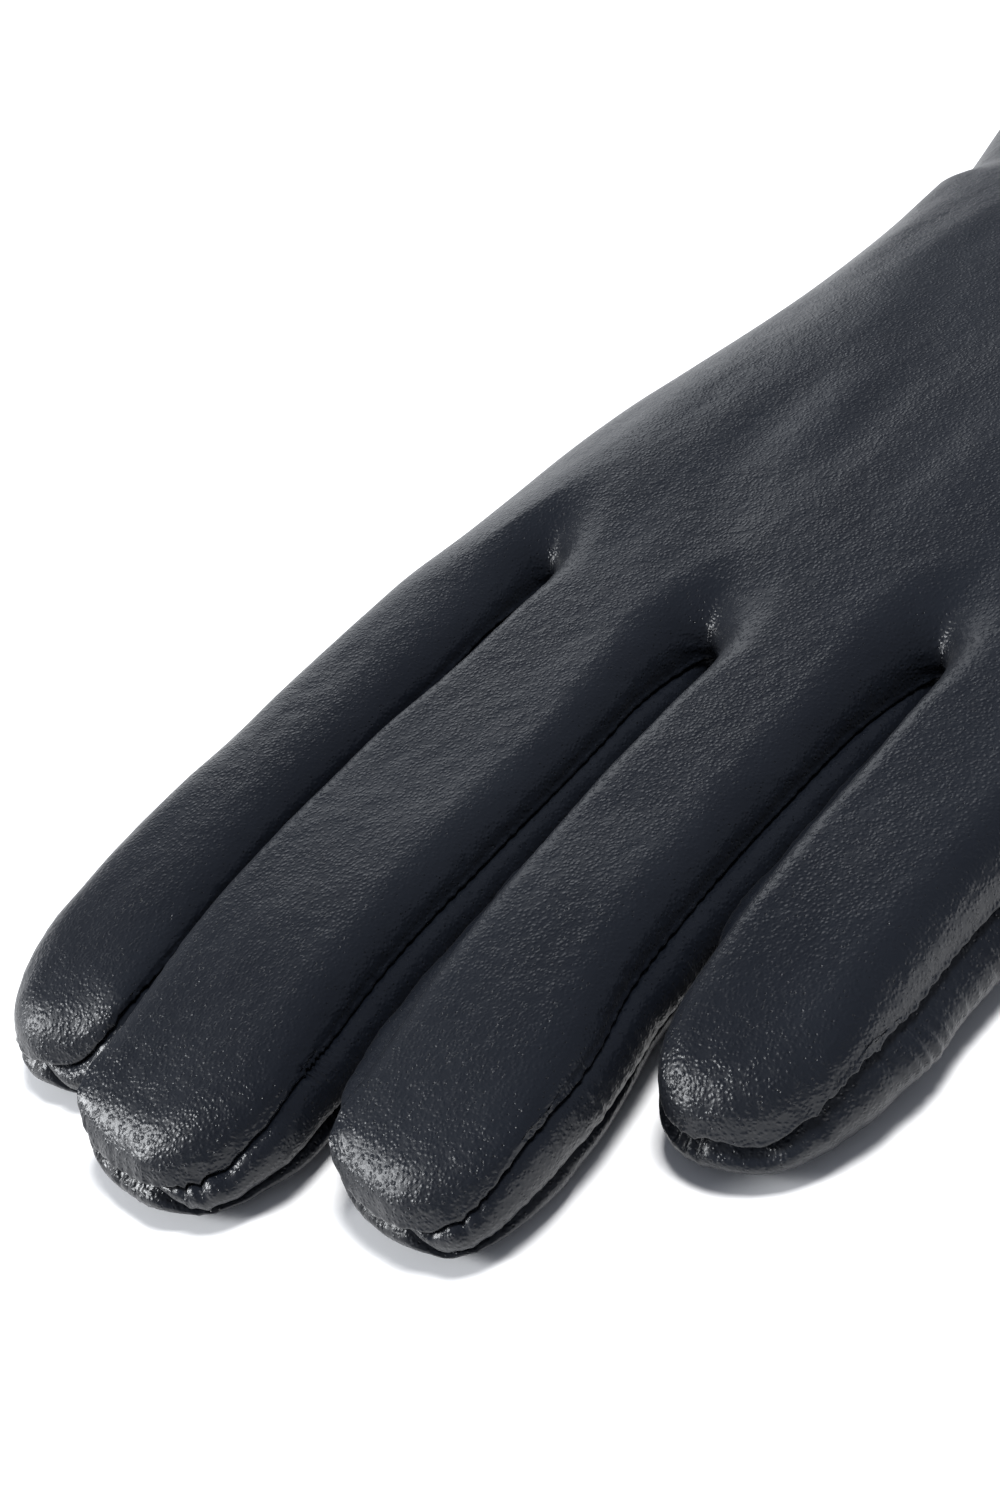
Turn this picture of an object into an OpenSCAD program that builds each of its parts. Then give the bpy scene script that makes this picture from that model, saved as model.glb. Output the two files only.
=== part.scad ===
// A lined leather dress glove for the left hand, lying on its palm with the thumb
// folded under. Each finger bends at its base joint and at its middle joint.
// +Y runs towards the fingertips, +X towards the index finger, +Z up.
// The leather trank is divided at the knuckle lines so that the finger sections can turn.

/* [Hand] */
// Length from the cuff's edge to the middle fingertip
glove_length = 240; // [225:1:260]
// Distance from the finger crotches to the wrist gather
wrist_back = 108; // [100:1:115]
// Height of the back of the hand above the table
hand_height = 22; // [20:0.5:24]

/* [Leather and lining] */
// Thickness of the outer leather
leather = 0.9; // [0.7:0.1:1.1]
// Thickness of the knitted lining
lining = 0.8; // [0.5:0.1:1]
// Free space between leather and lining
slack = 0.1; // [0.1:0.05:0.2]

/* [Fingers: index, middle, ring, little] */
// Length of each finger from the crotch line
finger_length = [75, 86, 78, 60]; // [50:1:90]
// Sideways place of each finger's base
finger_place = [39.4, 13.4, -14.6, -41.3]; // [-45:0.1:45]
// Sideways place of each fingertip
fingertip_place = [36.6, 10.2, -17.6, -40.2]; // [-45:0.1:45]
// Half the width of each back panel at the base
panel_half = [11.0, 11.4, 10.7, 10.4]; // [9:0.1:12]
// Distance from the crotch line to the base joint
base_joint = [10, 10, 10, 9]; // [9:0.5:11]
// Distance from the crotch line to the middle joint
middle_joint = [37, 42, 39, 30]; // [28:1:45]
// Height of a finger above the table
finger_height = 14.5; // [13:0.5:16]
// How far a fourchette swells out past its seams
fourchette_swell = 1.3; // [1:0.1:1.5]
// How far a finger bends at each joint
finger_bend = 75; // [60:1:80]

/* [Thumb] */
// Length of the thumb stall
thumb_length = 72; // [66:1:74]
// Half the width of the thumb stall
thumb_half = 14; // [12:0.5:15]
// Height of the flattened thumb stall
thumb_height = 10; // [9.5:0.1:10.4]

/* [Cuff] */
// Width of the turned hem at the cuff
hem_width = 9; // [6:1:12]
// Length of the elastic sewn across the palm side of the wrist
elastic_length = 46; // [35:1:55]
// Width of that elastic
elastic_width = 6; // [4:1:8]

/* [Hidden] */
FINGERS = ["index", "middle", "ring", "little"];
ROOT = -1;
BASE = 0;
SECTIONS = ["base", "tip"];

// Colours
leather_colour = [0.075, 0.08, 0.095];
lining_colour = [0.16, 0.16, 0.18];
thread_colour = [0.04, 0.04, 0.05];
elastic_colour = [0.1, 0.1, 0.11];
label_colour = [0.75, 0.74, 0.7];

// Heights and fits shared by the sections
pivot_z = 8;                            // height of every finger hinge
joint_gap = 0.3;                        // half the gap at a hinge, for free turning
seam_gap = 0.02;                        // gap where a finger's root meets the hand
notch = tan(finger_bend / 2);           // slope of the palm-side notch at a hinge
upper_seam = 9.8;                       // height of the seam between back panel and fourchette
lower_seam = 3;                         // height of the seam between fourchette and palm panel
tip_seam = 4.6;                         // height of the seam at a fingertip
tip_round = 13;                         // length over which a fingertip rounds off
tip_flat = 0.42;                        // share of the width left at the very tip
tip_lip = 0.7;                          // height of each panel's rolled edge at the tip
taper = 0.93;                           // width of a finger before its tip, as a share of its base
top_flat = 0.15;                        // share of a section's half width that is level on top
rest_flat = 0.62;                       // the same underneath, where the glove rests
edge_z = 8;                             // height of the side seam along the hand

// The hand's outline, as [distance along, sideways place]
fingertip_y = finger_length[1];
cuff_y = fingertip_y - glove_length;
index_side = [[cuff_y, 40.5], [-wrist_back - 22, 34.5], [-wrist_back, 31.2], [-90, 34], [-70, 38.5],
              [-50, 43.5], [-30, 47.7], [0, 51.2]];
little_side = [[cuff_y, -50], [-wrist_back - 22, -45.5], [-wrist_back, -43], [-90, -45.5], [-70, -48.5],
               [-50, -51.5], [-30, -53.4], [0, -53]];
crown = [[cuff_y, 16], [-wrist_back - 20, 16.4], [-wrist_back, 17], [-85, hand_height - 0.5],
         [-50, hand_height], [-25, hand_height - 0.8], [-10, hand_height - 3.6], [0, finger_height]];
hand_rows = [cuff_y, -145, -137, -130, -119, -wrist_back, -104, -99, -95, -88, -80, -70, -60, -50, -40, -30, -20, -10, 0];
hand_columns = 16;
finger_columns = 8;
side_steps = 4;

// The row frame stands at the middle of the bounding box, on the table
widest_right = finger_place[0] + panel_half[0] + fourchette_swell;
widest_left = min([for (p = little_side) p[1]]);
shift = [-(widest_right + widest_left) / 2, glove_length / 2 - fingertip_y, 0];

// The thumb's fold line runs along the index side of the palm
fold_point = [36, -76];
fold_turn = -16;                        // turn of the fold line from +Y, in degrees
thumb_start = -24;                      // the stall's heel, along the fold line from fold_point
thumb_clear = 1;                        // space between the fold line and the stall
thumb_lean = -0.23;                     // sideways lean of the stall, away from the fold line
thumb_room = 0.7;                       // space between the stall and the palm above it
thumb_hole = 12;                        // radius of the hole in the palm
stitch = 0.5;                           // thickness of the sewing thread

function mix(a, b, t) = a + (b - a) * t;
function ease(t) = let (c = min(1, max(0, t))) c * c * (3 - 2 * c);
function level(s, flat) = pow(1 - pow(max(0, abs(s) - flat) / (1 - flat), 2.4), 0.6);
function across(n) = [for (i = [0 : n]) -cos(180 * i / n)];
function backwards(list) = [for (i = [len(list) - 1 : -1 : 0]) list[i]];
function lean_back(y, z, slope) = y + slope * max(0, pivot_z - z);

// A section is [x, y, half, bottom, low, high, top, swell, slope]: one closed loop of points round
// a finger, starting at the upper seam on the little finger's side and going over the back.
function section_loop(c) = let (
    x = c[0], y = c[1], half = c[2], swell = c[7], slope = c[8],
    sides = [for (i = [1 : side_steps - 1]) i / side_steps],
    over = [for (s = across(finger_columns)) [x + half * s, c[5] + (c[6] - c[5]) * level(s, top_flat)]],
    under = [for (s = across(finger_columns)) [x + half * s, c[4] - (c[4] - c[3]) * level(s, rest_flat)]],
    down = [for (u = sides) [x + half + swell * sin(180 * u), mix(c[5], c[4], u)]],
    up = [for (u = sides) [x - half - swell * sin(180 * u), mix(c[4], c[5], u)]],
    flat = concat(over, down, backwards(under), up))
    [for (p = flat) [p[0], lean_back(y, p[1], slope), p[1]]];

// Points of a finger's loop that belong to each strip of leather
LOOP = 2 * (finger_columns + side_steps);
HIGH_R = finger_columns;
LOW_R = finger_columns + side_steps;
LOW_L = 2 * finger_columns + side_steps;
MID_R = HIGH_R + side_steps / 2;
MID_L = LOW_L + side_steps / 2;
function strip(loop, from, to) = [for (i = [from : to]) loop[i % LOOP]];

// A finger's section at a distance y, taken inwards by d
function finger_section(f, y, d, slope) = let (
    long = finger_length[f],
    start = long - tip_round,
    t = max(0, (y - start) / (tip_round - d)),
    shrink = pow(max(0, 1 - pow(t, 2.4)), 1 / 2.4),
    sink = sqrt(max(0, 1 - t * t)),
    wide = (panel_half[f] - d) * mix(1, taper, min(1, y / start)),
    high = mix(upper_seam, tip_seam + 0.2, ease(t)),
    low = mix(lower_seam, tip_seam - 0.2, ease(t)),
    lip = d == 0 ? tip_lip * t * t : 0)
    [mix(finger_place[f], fingertip_place[f], y / long), y, wide * mix(tip_flat, 1, shrink),
     low - (lower_seam - d) * sink - lip, low, high,
     high + (finger_height - d - upper_seam) * sink + lip,
     max(0.15, fourchette_swell * (1 - t)), slope];

// Rings along a finger: the root is sewn to the hand, the base lies between the two joints
// and the tip runs to the fingertip
function tip_rows(f, d) = let (start = finger_length[f] - tip_round)
    [for (t = [0, 0.3, 0.55, 0.75, 0.9, 1]) start + (tip_round - d) * t];
function ring(f, y, d, slope) = section_loop(finger_section(f, y, d, slope));
function finger_rings(f, part, d) = let (knuckle = base_joint[f], bend = middle_joint[f])
    part == ROOT ? [ring(f, seam_gap, d, 0), ring(f, knuckle - joint_gap, d, -notch)]
    : part == BASE ? [ring(f, knuckle + joint_gap, d, notch), ring(f, (knuckle + bend) / 2, d, 0),
                      ring(f, bend - joint_gap, d, -notch)]
    : concat([ring(f, bend + joint_gap, d, notch)], [for (y = tip_rows(f, d)) ring(f, y, d, 0)]);

// Quads joining ring after ring of n points, and the strips that close an end
function quad(a, b, c, d) = [[a, b, c], [a, c, d]];
function between(n, rows, first) = [for (j = [0 : rows - 2], i = [0 : n - 1])
    let (a = first + j * n + i, b = first + j * n + (i + 1) % n) each quad(a, b, b + n, a + n)];
function open_between(n, rows, first) = [for (j = [0 : rows - 2], i = [0 : n - 2])
    let (a = first + j * n + i) each quad(a, a + 1, a + 1 + n, a + n)];
function end_strip(n, first, half) = [for (i = [0 : half - 2])
    let (a = first + i, c = first + n - 1 - i) each [[a, c - 1, a + 1], [a, c, c - 1]]];
function flipped(faces) = [for (f = faces) [f[0], f[2], f[1]]];

// A wall of leather between two lists of open rings. Walls that share a seam meet face to face there,
// because both cut the seam's quads along the same diagonal.
module wall(outer, inner) {
    n = len(outer[0]);
    rows = len(outer);
    count = n * rows;
    side = [for (j = [0 : rows - 2]) each quad(j * n, (j + 1) * n, (j + 1) * n + count, j * n + count)];
    end = [for (i = [0 : n - 2]) each quad(i, i + 1, i + 1 + count, i + count)];
    far_side = [for (f = side) [for (k = f) k + n - 1]];
    far_end = [for (f = end) [for (k = f) k + count - n]];
    polyhedron(concat([for (r = outer) each r], [for (r = inner) each r]),
               concat(flipped(open_between(n, rows, 0)), open_between(n, rows, count),
                      flipped(side), far_side, end, flipped(far_end)));
}

// A knitted sleeve between two lists of closed rings, open at its base, and at its tip if open_tip
module sleeve(outer, inner, open_tip) {
    n = len(outer[0]);
    rows = len(outer);
    count = n * rows;
    last = n * (rows - 1);
    ring = [for (i = [0 : n - 1]) i];
    base = [for (i = ring) each [[i, (i + 1) % n, count + (i + 1) % n], [i, count + (i + 1) % n, count + i]]];
    rim = [for (f = base) [f[0] + last, f[1] + last, f[2] + last]];
    caps = concat(end_strip(n, last, n / 2), flipped(end_strip(n, count + last, n / 2)));
    polyhedron(concat([for (r = outer) each r], [for (r = inner) each r]),
               concat(flipped(between(n, rows, 0)), between(n, rows, count), base,
                      open_tip ? flipped(rim) : caps));
}

module finger_wall(f, part, from, to) {
    wall([for (r = finger_rings(f, part, 0)) strip(r, from, to)],
         [for (r = finger_rings(f, part, leather)) strip(r, from, to)]);
}

// The index finger's outer side is the trank's fold and the little finger's is the side seam,
// so there the back and palm panels meet half way down
module finger_back(f, part) {
    color(leather_colour)
        finger_wall(f, part, f == 3 ? MID_L : LOOP, f == 0 ? MID_R + LOOP : HIGH_R + LOOP);
}

module finger_palm(f, part) {
    color(leather_colour) finger_wall(f, part, f == 0 ? MID_R : LOW_R, f == 3 ? MID_L : LOW_L);
}

module finger_fourchette(f, part) {
    color(leather_colour) {
        if (f > 0) finger_wall(f, part, HIGH_R, LOW_R);
        if (f < 3) finger_wall(f, part, LOW_L, LOOP);
    }
}

module finger_lining(f, part) {
    color(lining_colour)
        sleeve(finger_rings(f, part, leather + slack),
               finger_rings(f, part, leather + slack + lining), part <= BASE);
}

// The leather that folds on the palm side of a joint
module finger_crease(f, part) {
    y = part == BASE ? base_joint[f] : middle_joint[f];
    rise = (pivot_z - lower_seam) / (upper_seam - lower_seam);
    skip = ceil((1 - rise) * side_steps);
    gap = joint_gap - 0.2;
    rings = [for (d = [0, leather]) [for (side = [-1, 1])
        strip(ring(f, y + side * gap, d, side * notch), HIGH_R + skip, LOOP - skip)]];
    color(leather_colour) wall(rings[0], rings[1]);
}

// How much the palm rises over the folded thumb at a point, from 0 to 1
function along_fold(p) = let (q = p - fold_point) -q[0] * sin(fold_turn) + q[1] * cos(fold_turn);
function beside_fold(p) = let (q = p - fold_point) q[0] * cos(fold_turn) + q[1] * sin(fold_turn);
function thumb_rise(p) = let (u = along_fold(p), v = beside_fold(p))
    ease((v + 58) / 10) * ease((u - thumb_start + 7) / 6) * ease((thumb_start + thumb_length + 11 - u) / 10);

// One ring across the hand, over the back or under the palm, taken inwards by d
function hand_ring(y, d, over) = let (
    right = lookup(y, index_side) - d,
    left = lookup(y, little_side) + d,
    top = lookup(y, crown) - d,
    under = thumb_height + thumb_room)
    [for (s = across(hand_columns))
        let (x = mix(left, right, (s + 1) / 2),
             rise = thumb_rise([x, y]),
             edge = edge_z + 7 * thumb_rise([right, y]) * ease((s + 1) / 2),
             base = under * rise + d,
             z = over ? edge + (top - edge) * level(s, top_flat) : edge - (edge - base) * level(s, rest_flat))
        [x, y, z]];
function hand_rings(d, over) = [for (y = hand_rows) hand_ring(y, d, over)];

module back_of_hand() {
    color(leather_colour) wall(hand_rings(0, true), hand_rings(leather, true));
    for (f = [0 : 3]) finger_back(f, ROOT);
}

module in_thumb_frame() {
    translate([fold_point[0], fold_point[1], 0]) rotate([0, 0, fold_turn]) children();
}

module in_thumb_hole() {
    in_thumb_frame() translate([-thumb_clear - thumb_half - 2, thumb_start + thumb_hole + 6, thumb_height - 2])
        children();
}

module palm_of_hand() {
    color(leather_colour) difference() {
        wall([for (r = hand_rings(0, false)) backwards(r)],
             [for (r = hand_rings(leather, false)) backwards(r)]);
        in_thumb_hole() cylinder(r = thumb_hole, h = 5, $fn = 48);
    }
    for (f = [0 : 3]) finger_palm(f, ROOT);
}

// The lining of the hand, open at the cuff and towards the fingers
module lining_hand() {
    function loops(d) = [for (y = hand_rows)
        let (over = hand_ring(y, d, true), under = hand_ring(y, d, false))
        concat(over, [for (k = [hand_columns - 1 : -1 : 1]) under[k]])];
    color(lining_colour) difference() {
        sleeve(loops(leather + slack), loops(leather + slack + lining), true);
        in_thumb_hole() cylinder(r = thumb_hole - lining, h = 6, $fn = 48);
    }
    for (f = [0 : 3]) finger_lining(f, ROOT);
}

// The forked pieces in each crotch, and the fourchettes of the finger roots they join
module crotch_forks() {
    color(leather_colour) for (f = [0 : 2]) {
        right = finger_place[f] - panel_half[f];
        left = finger_place[f + 1] + panel_half[f + 1];
        translate([(left + right) / 2, -leather / 2 - 0.05, (upper_seam + lower_seam) / 2])
            cube([right - left, leather, upper_seam - lower_seam - 0.4], center = true);
    }
    for (f = [0 : 3]) finger_fourchette(f, ROOT);
}

// The cuff's edge is turned in and sewn down
module hem(over) {
    rows = [cuff_y + 0.4, cuff_y + hem_width / 2, cuff_y + hem_width];
    inset = leather + slack + lining + 0.1;
    rings = [for (d = [inset, inset + leather]) [for (y = rows) hand_ring(y, d, over)]];
    color(leather_colour) {
        if (over) wall(rings[0], rings[1]);
        if (!over) wall([for (r = rings[0]) backwards(r)], [for (r = rings[1]) backwards(r)]);
    }
}

// A band of elastic inside the palm side of the wrist
module wrist_elastic() {
    centre = (lookup(-wrist_back, index_side) + lookup(-wrist_back, little_side)) / 2;
    color(elastic_colour)
        translate([centre, -wrist_back, leather + slack + lining + 0.1 + 0.5])
            cube([elastic_length, elastic_width, 1], center = true);
}

// Short stitches laid end to end along a list of points, sunk into the leather
module stitches(path, pitch) {
    for (i = [0 : len(path) - 2]) {
        run = path[i + 1] - path[i];
        count = max(1, round(norm(run) / pitch));
        for (k = [0 : count - 1])
            translate(path[i] + run * (k + 0.5) / count)
                rotate([0, acos(run[2] / norm(run)), atan2(run[1], run[0])])
                    cylinder(d = stitch, h = norm(run) / count * 0.7, center = true, $fn = 16);
    }
}

// Rows of stitches that hold the elastic, seen on the palm
module gather_stitches() {
    centre = (lookup(-wrist_back, index_side) + lookup(-wrist_back, little_side)) / 2;
    color(thread_colour) for (side = [-1, 1])
        stitches([for (end = [-1, 1])
            [centre + end * elastic_length / 2, -wrist_back + side * elastic_width / 2, leather / 2]], 2.5);
}

// Stitches down the little finger's side of the hand
module side_seam_thread() {
    color(thread_colour)
        stitches([for (y = [-10, -30, -50, -70, -90, -105])
            [lookup(y, little_side) + leather / 2, y, edge_z]], 3);
}

// Stitches that hold the turned hem, round the back and the palm side of the cuff
module hem_thread() {
    y = cuff_y + hem_width - 1;
    color(thread_colour) for (over = [true, false]) {
        path = hand_ring(y, leather / 2, over);
        stitches([for (i = [3 : hand_columns - 3]) path[i]], 3);
    }
}

// A plain woven label inside the cuff
module size_label() {
    y = cuff_y + hem_width + 9;
    centre = (lookup(y, index_side) + lookup(y, little_side)) / 2;
    z = lookup(y, crown) - leather - slack - lining - 0.6;
    color(label_colour) translate([centre, y, z]) cube([16, 12, 0.4], center = true);
}

// The thumb stall, in the fold line's frame: rounded at its heel and at its tip
thumb_rows = [0, 0.8, 2.5, 6, 12, 24, 38, 52, thumb_length - 12, thumb_length - 7, thumb_length - 3.5,
              thumb_length - 1, thumb_length];
function thumb_section(y, d) = let (
    t = max(0, (y - (thumb_length - 14)) / 14, (10 - y) / 10),
    shrink = pow(max(0, 1 - pow(t, 2.4)), 1 / 2.4),
    half = (thumb_half - d) * mix(0.4, 1, shrink),
    middle = thumb_height / 2,
    high = (middle - d) * sqrt(max(0, 1 - t * t)) + (d == 0 ? tip_lip * min(1, t * t) : 0.2),
    pull = t == 0 ? 0 : d * (y > thumb_length / 2 ? -t : t))
    [-thumb_clear - thumb_half - 1.2 + thumb_lean * y, y + thumb_start + pull, half,
     middle - high, middle - 0.3 * high, middle + 0.3 * high, middle + high, max(0.15, 0.8 * (1 - t)), 0];
function thumb_rings(d, from) = [for (y = thumb_rows) if (y >= from) section_loop(thumb_section(y, d))];

module thumb_front() {
    color(leather_colour) in_thumb_frame()
        wall([for (r = thumb_rings(0, 0)) strip(r, MID_R, MID_L)],
             [for (r = thumb_rings(leather, 0)) strip(r, MID_R, MID_L)]);
}

// The upper side starts past the hole through which the thumb goes in
module thumb_back() {
    start = 2 * thumb_hole + 6;
    color(leather_colour) in_thumb_frame()
        wall([for (r = thumb_rings(0, start)) strip(r, MID_L, MID_R + LOOP)],
             [for (r = thumb_rings(leather, start)) strip(r, MID_L, MID_R + LOOP)]);
}

module thumb_lining() {
    start = 2 * thumb_hole + 6;
    inset = leather + slack;
    color(lining_colour) in_thumb_frame()
        sleeve(thumb_rings(inset, start), thumb_rings(inset + lining, start), false);
}

// Stitches along the thumb's inner seam
module thumb_thread() {
    x = -thumb_clear - 2 * thumb_half - 1.2 - 0.8 + leather / 2;
    color(thread_colour) in_thumb_frame()
        stitches([for (y = [34, thumb_length - 16])
            [x + thumb_lean * y, thumb_start + y, thumb_height / 2]], 2.5);
}

module in_row_frame() {
    translate(shift) children();
}

in_row_frame() back_of_hand();
in_row_frame() palm_of_hand();
in_row_frame() crotch_forks();
in_row_frame() hem(true);  // hem_back
in_row_frame() hem(false);  // hem_palm
in_row_frame() wrist_elastic();
in_row_frame() gather_stitches();
in_row_frame() side_seam_thread();
in_row_frame() hem_thread();
in_row_frame() size_label();
in_row_frame() lining_hand();
in_row_frame() thumb_front();
in_row_frame() thumb_back();
in_row_frame() thumb_lining();
in_row_frame() thumb_thread();
for (f = [0 : 3], p = [0 : 1]) {
    name = str(FINGERS[f], "_", SECTIONS[p]);
    in_row_frame() finger_back(f, p);
    in_row_frame() finger_palm(f, p);
    in_row_frame() finger_fourchette(f, p);
    in_row_frame() finger_lining(f, p);
    in_row_frame() finger_crease(f, p);
}
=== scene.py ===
import math

import bpy
import numpy as np
from mathutils import Matrix, Vector


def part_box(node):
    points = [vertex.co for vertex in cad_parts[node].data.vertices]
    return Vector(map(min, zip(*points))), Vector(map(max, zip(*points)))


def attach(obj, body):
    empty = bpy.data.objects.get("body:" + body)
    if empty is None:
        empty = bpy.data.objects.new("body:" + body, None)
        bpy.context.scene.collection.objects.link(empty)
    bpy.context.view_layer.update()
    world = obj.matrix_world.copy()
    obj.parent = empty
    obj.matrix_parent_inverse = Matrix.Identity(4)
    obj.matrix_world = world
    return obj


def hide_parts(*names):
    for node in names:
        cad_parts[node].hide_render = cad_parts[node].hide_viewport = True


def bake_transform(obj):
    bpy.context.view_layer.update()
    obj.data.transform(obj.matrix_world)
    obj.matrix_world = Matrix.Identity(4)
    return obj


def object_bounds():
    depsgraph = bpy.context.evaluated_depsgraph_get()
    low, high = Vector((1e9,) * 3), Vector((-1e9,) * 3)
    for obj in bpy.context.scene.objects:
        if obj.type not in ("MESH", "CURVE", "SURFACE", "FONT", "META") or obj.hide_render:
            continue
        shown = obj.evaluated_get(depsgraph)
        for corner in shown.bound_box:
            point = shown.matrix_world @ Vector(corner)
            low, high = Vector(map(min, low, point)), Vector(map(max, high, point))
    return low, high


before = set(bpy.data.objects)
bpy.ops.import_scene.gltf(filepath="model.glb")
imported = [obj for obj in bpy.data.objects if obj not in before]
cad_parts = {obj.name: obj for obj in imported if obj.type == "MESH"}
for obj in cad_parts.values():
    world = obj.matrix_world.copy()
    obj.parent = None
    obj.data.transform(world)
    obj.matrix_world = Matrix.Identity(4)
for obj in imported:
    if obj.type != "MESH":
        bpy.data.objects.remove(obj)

CAD_BOX = [list(corner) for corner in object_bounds()]

# Everything below is worked out in millimetres in the glove's own plan: y = 0 runs through the
# finger crotches, +x towards the index finger, z = 0 is the table. CUFF is where the CAD's cuff ends.
FINGERS = ["index", "middle", "ring", "little"]
CUFF = -154.0
LEFTMOST = -53.4    # x of the CAD box's little side
SHIFT = np.array([CAD_BOX[0][0] * 1000 - LEFTMOST, CAD_BOX[0][1] * 1000 - CUFF, 0.0])
LEATHER_SLOT, LINING_SLOT, THREAD_SLOT = "leather", "lining", "thread"
ELASTIC_SLOT, LABEL_SLOT = "elastic", "label"
SEAM_STITCH = 2.4                       # spacing of the seams' stitches


def to_metres(points):
    """Plan millimetres to metres in the CAD's frame."""
    return (np.asarray(points, float) + SHIFT) / 1000.0


def ease(t):
    """0 below t = 0, 1 above t = 1, with a smooth rise between."""
    t = np.clip(t, 0.0, 1.0)
    return t * t * (3 - 2 * t)


def mix(a, b, t):
    return a + (b - a) * t


def squared(wave, power):
    """A sine or cosine made fuller or leaner, so that an ellipse turns into a rounded box."""
    return np.sign(wave) * np.abs(wave) ** power


def distance_along(line):
    """Distance of each point along a line from its start."""
    return np.concatenate([[0], np.cumsum(np.linalg.norm(np.diff(line, axis=0), axis=1))])


def curve(points):
    """A smooth function through (y, value) points: a cubic with slopes taken from the neighbours."""
    table = np.array(sorted(points), float)
    ys, vs = table[:, 0], table[:, 1]
    slopes = np.gradient(vs, ys)

    def at(y):
        y = np.clip(np.asarray(y, float), ys[0], ys[-1])
        k = np.clip(np.searchsorted(ys, y, side="right") - 1, 0, len(ys) - 2)
        h = ys[k + 1] - ys[k]
        t = (y - ys[k]) / h
        return (
            (2 * t**3 - 3 * t**2 + 1) * vs[k]
            + (t**3 - 2 * t**2 + t) * h * slopes[k]
            + (3 * t**2 - 2 * t**3) * vs[k + 1]
            + (t**3 - t**2) * h * slopes[k + 1]
        )

    return at


# --- Plan of the glove -------------------------------------------------------------------------

# Panel edges as (y, x), seen from above. Each finger has the edge on the index side first.
INDEX_OUTER = curve([(-154, 41.2), (-140, 40.0), (-125, 37.8), (-110, 34.4), (-98, 32.0), (-88, 31.2),
                     (-78, 31.7), (-67, 33.0), (-56, 35.0), (-45, 37.5), (-34, 40.4), (-23, 43.4),
                     (-12, 45.2), (0, 45.8), (12, 45.4), (24, 45.0), (35, 44.4), (46, 43.9), (57, 43.6),
                     (68, 42.6)])
LITTLE_OUTER = curve([(-154, -50.0), (-130, -45.6), (-110, -43.2), (-90, -45.4), (-70, -48.6), (-50, -51.4),
                      (-30, -53.0), (-10, -53.2), (5, -52.5), (24, -51.7), (40, -51.4), (48, -50.9)])
CROTCH = [(-5.3, 27.4), (0.4, -1.6), (-4.7, -28.5)]
INNER = {
    ("index", 1): curve([(-5.3, 28.7), (0, 28.5), (6, 27.9), (14, 27.1), (31, 26.4), (45, 25.4), (60, 23.6),
                         (70, 22.6)]),
    ("middle", 0): curve([(-5.3, 25.9), (-1, 24.2), (3, 23.4), (10, 23.1), (19, 23.4), (31, 23.9), (45, 23.0),
                          (56, 21.9), (64, 20.8), (73, 19.4), (79, 18.7)]),
    ("middle", 1): curve([(0.4, -0.2), (5, 0.4), (18, -0.2), (36, -0.7), (50, -1.2), (60, -2.2), (68, -3.6),
                          (74, -4.3)]),
    ("ring", 0): curve([(0.4, -3.1), (3, -5.0), (6, -6.0), (15, -6.4), (28, -6.7), (42, -7.9), (54, -9.1),
                        (61, -9.9), (69, -10.6)]),
    ("ring", 1): curve([(-4.7, -27.4), (0, -26.4), (6, -25.9), (17, -25.6), (27, -25.6), (37, -26.0),
                        (46, -27.1), (54, -29.0), (59, -29.6), (66, -29.8)]),
    ("little", 0): curve([(-4.7, -29.8), (-2, -30.7), (3, -31.5), (11, -31.9), (24, -32.1), (33, -32.4),
                          (39, -32.5), (48, -32.9)]),
}
TIP_Y = [78.2, 83.8, 75.2, 54.3]        # where each finger ends
# Length of each fingertip's rounded corners, index side first, and how square each corner is.
TIP_ROUND = [(13.0, 9.0), (5.5, 15.5), (4.5, 12.5), (14.0, 10.0)]
TIP_POWER = [(2.0, 2.0), (2.6, 1.9), (2.4, 2.1), (2.6, 2.4)]
TIP_SKEW = [0.0, 0.0, 0.0, 2.6]         # how much further the index side of the end reaches
FLAT_ROWS = 24.0                        # rows over the last part of a finger follow its round end
CUTS = [23.5, 26.0, 24.5, 19.5]         # where the base section of each finger hands over to the tip section
ROOT_CUT = 0.6                          # where the hand hands over to the base sections
COLUMNS = 76                            # columns across each finger
CROTCH_OPENING = 2.2                    # length over which a crotch rounds open


def slit_sides(number, y):
    """x of the two finger edges that face each other across a gap, the index side's first."""
    return INNER[FINGERS[number], 1](y), INNER[FINGERS[number + 1], 0](y)


def slit_edge(finger, side, y):
    """x of a finger's inner edge, rounded off at its crotch."""
    number = finger + side - 1
    crotch_y = CROTCH[number][0]
    sides = slit_sides(number, y)
    middle = sum(sides) / 2
    opening = np.clip((y - crotch_y) / CROTCH_OPENING, 0, 1)
    line = middle + (sides[1 - side] - middle) * np.sqrt(1 - (1 - opening) ** 2)
    return np.where(y < crotch_y, division(number, y), line)


def division(number, y):
    """x of the line in the hand behind a crotch, where two fingers' columns meet."""
    crotch_y = CROTCH[number][0]
    low, high = LITTLE_OUTER(crotch_y), INDEX_OUTER(crotch_y)
    share = (sum(slit_sides(number, crotch_y)) / 2 - low) / (high - low)
    return mix(LITTLE_OUTER(y), INDEX_OUTER(y), share)


def edge(finger, side, y):
    """x of a finger column's edge: side 0 is towards the index finger's side of the glove."""
    if finger == 0 and side == 0:
        return INDEX_OUTER(y)
    if finger == 3 and side == 1:
        return LITTLE_OUTER(y)
    return slit_edge(finger, side, y)


ACROSS = np.cos(np.linspace(0, math.pi, COLUMNS + 1))    # 1 at the index side, -1 at the little side


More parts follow.
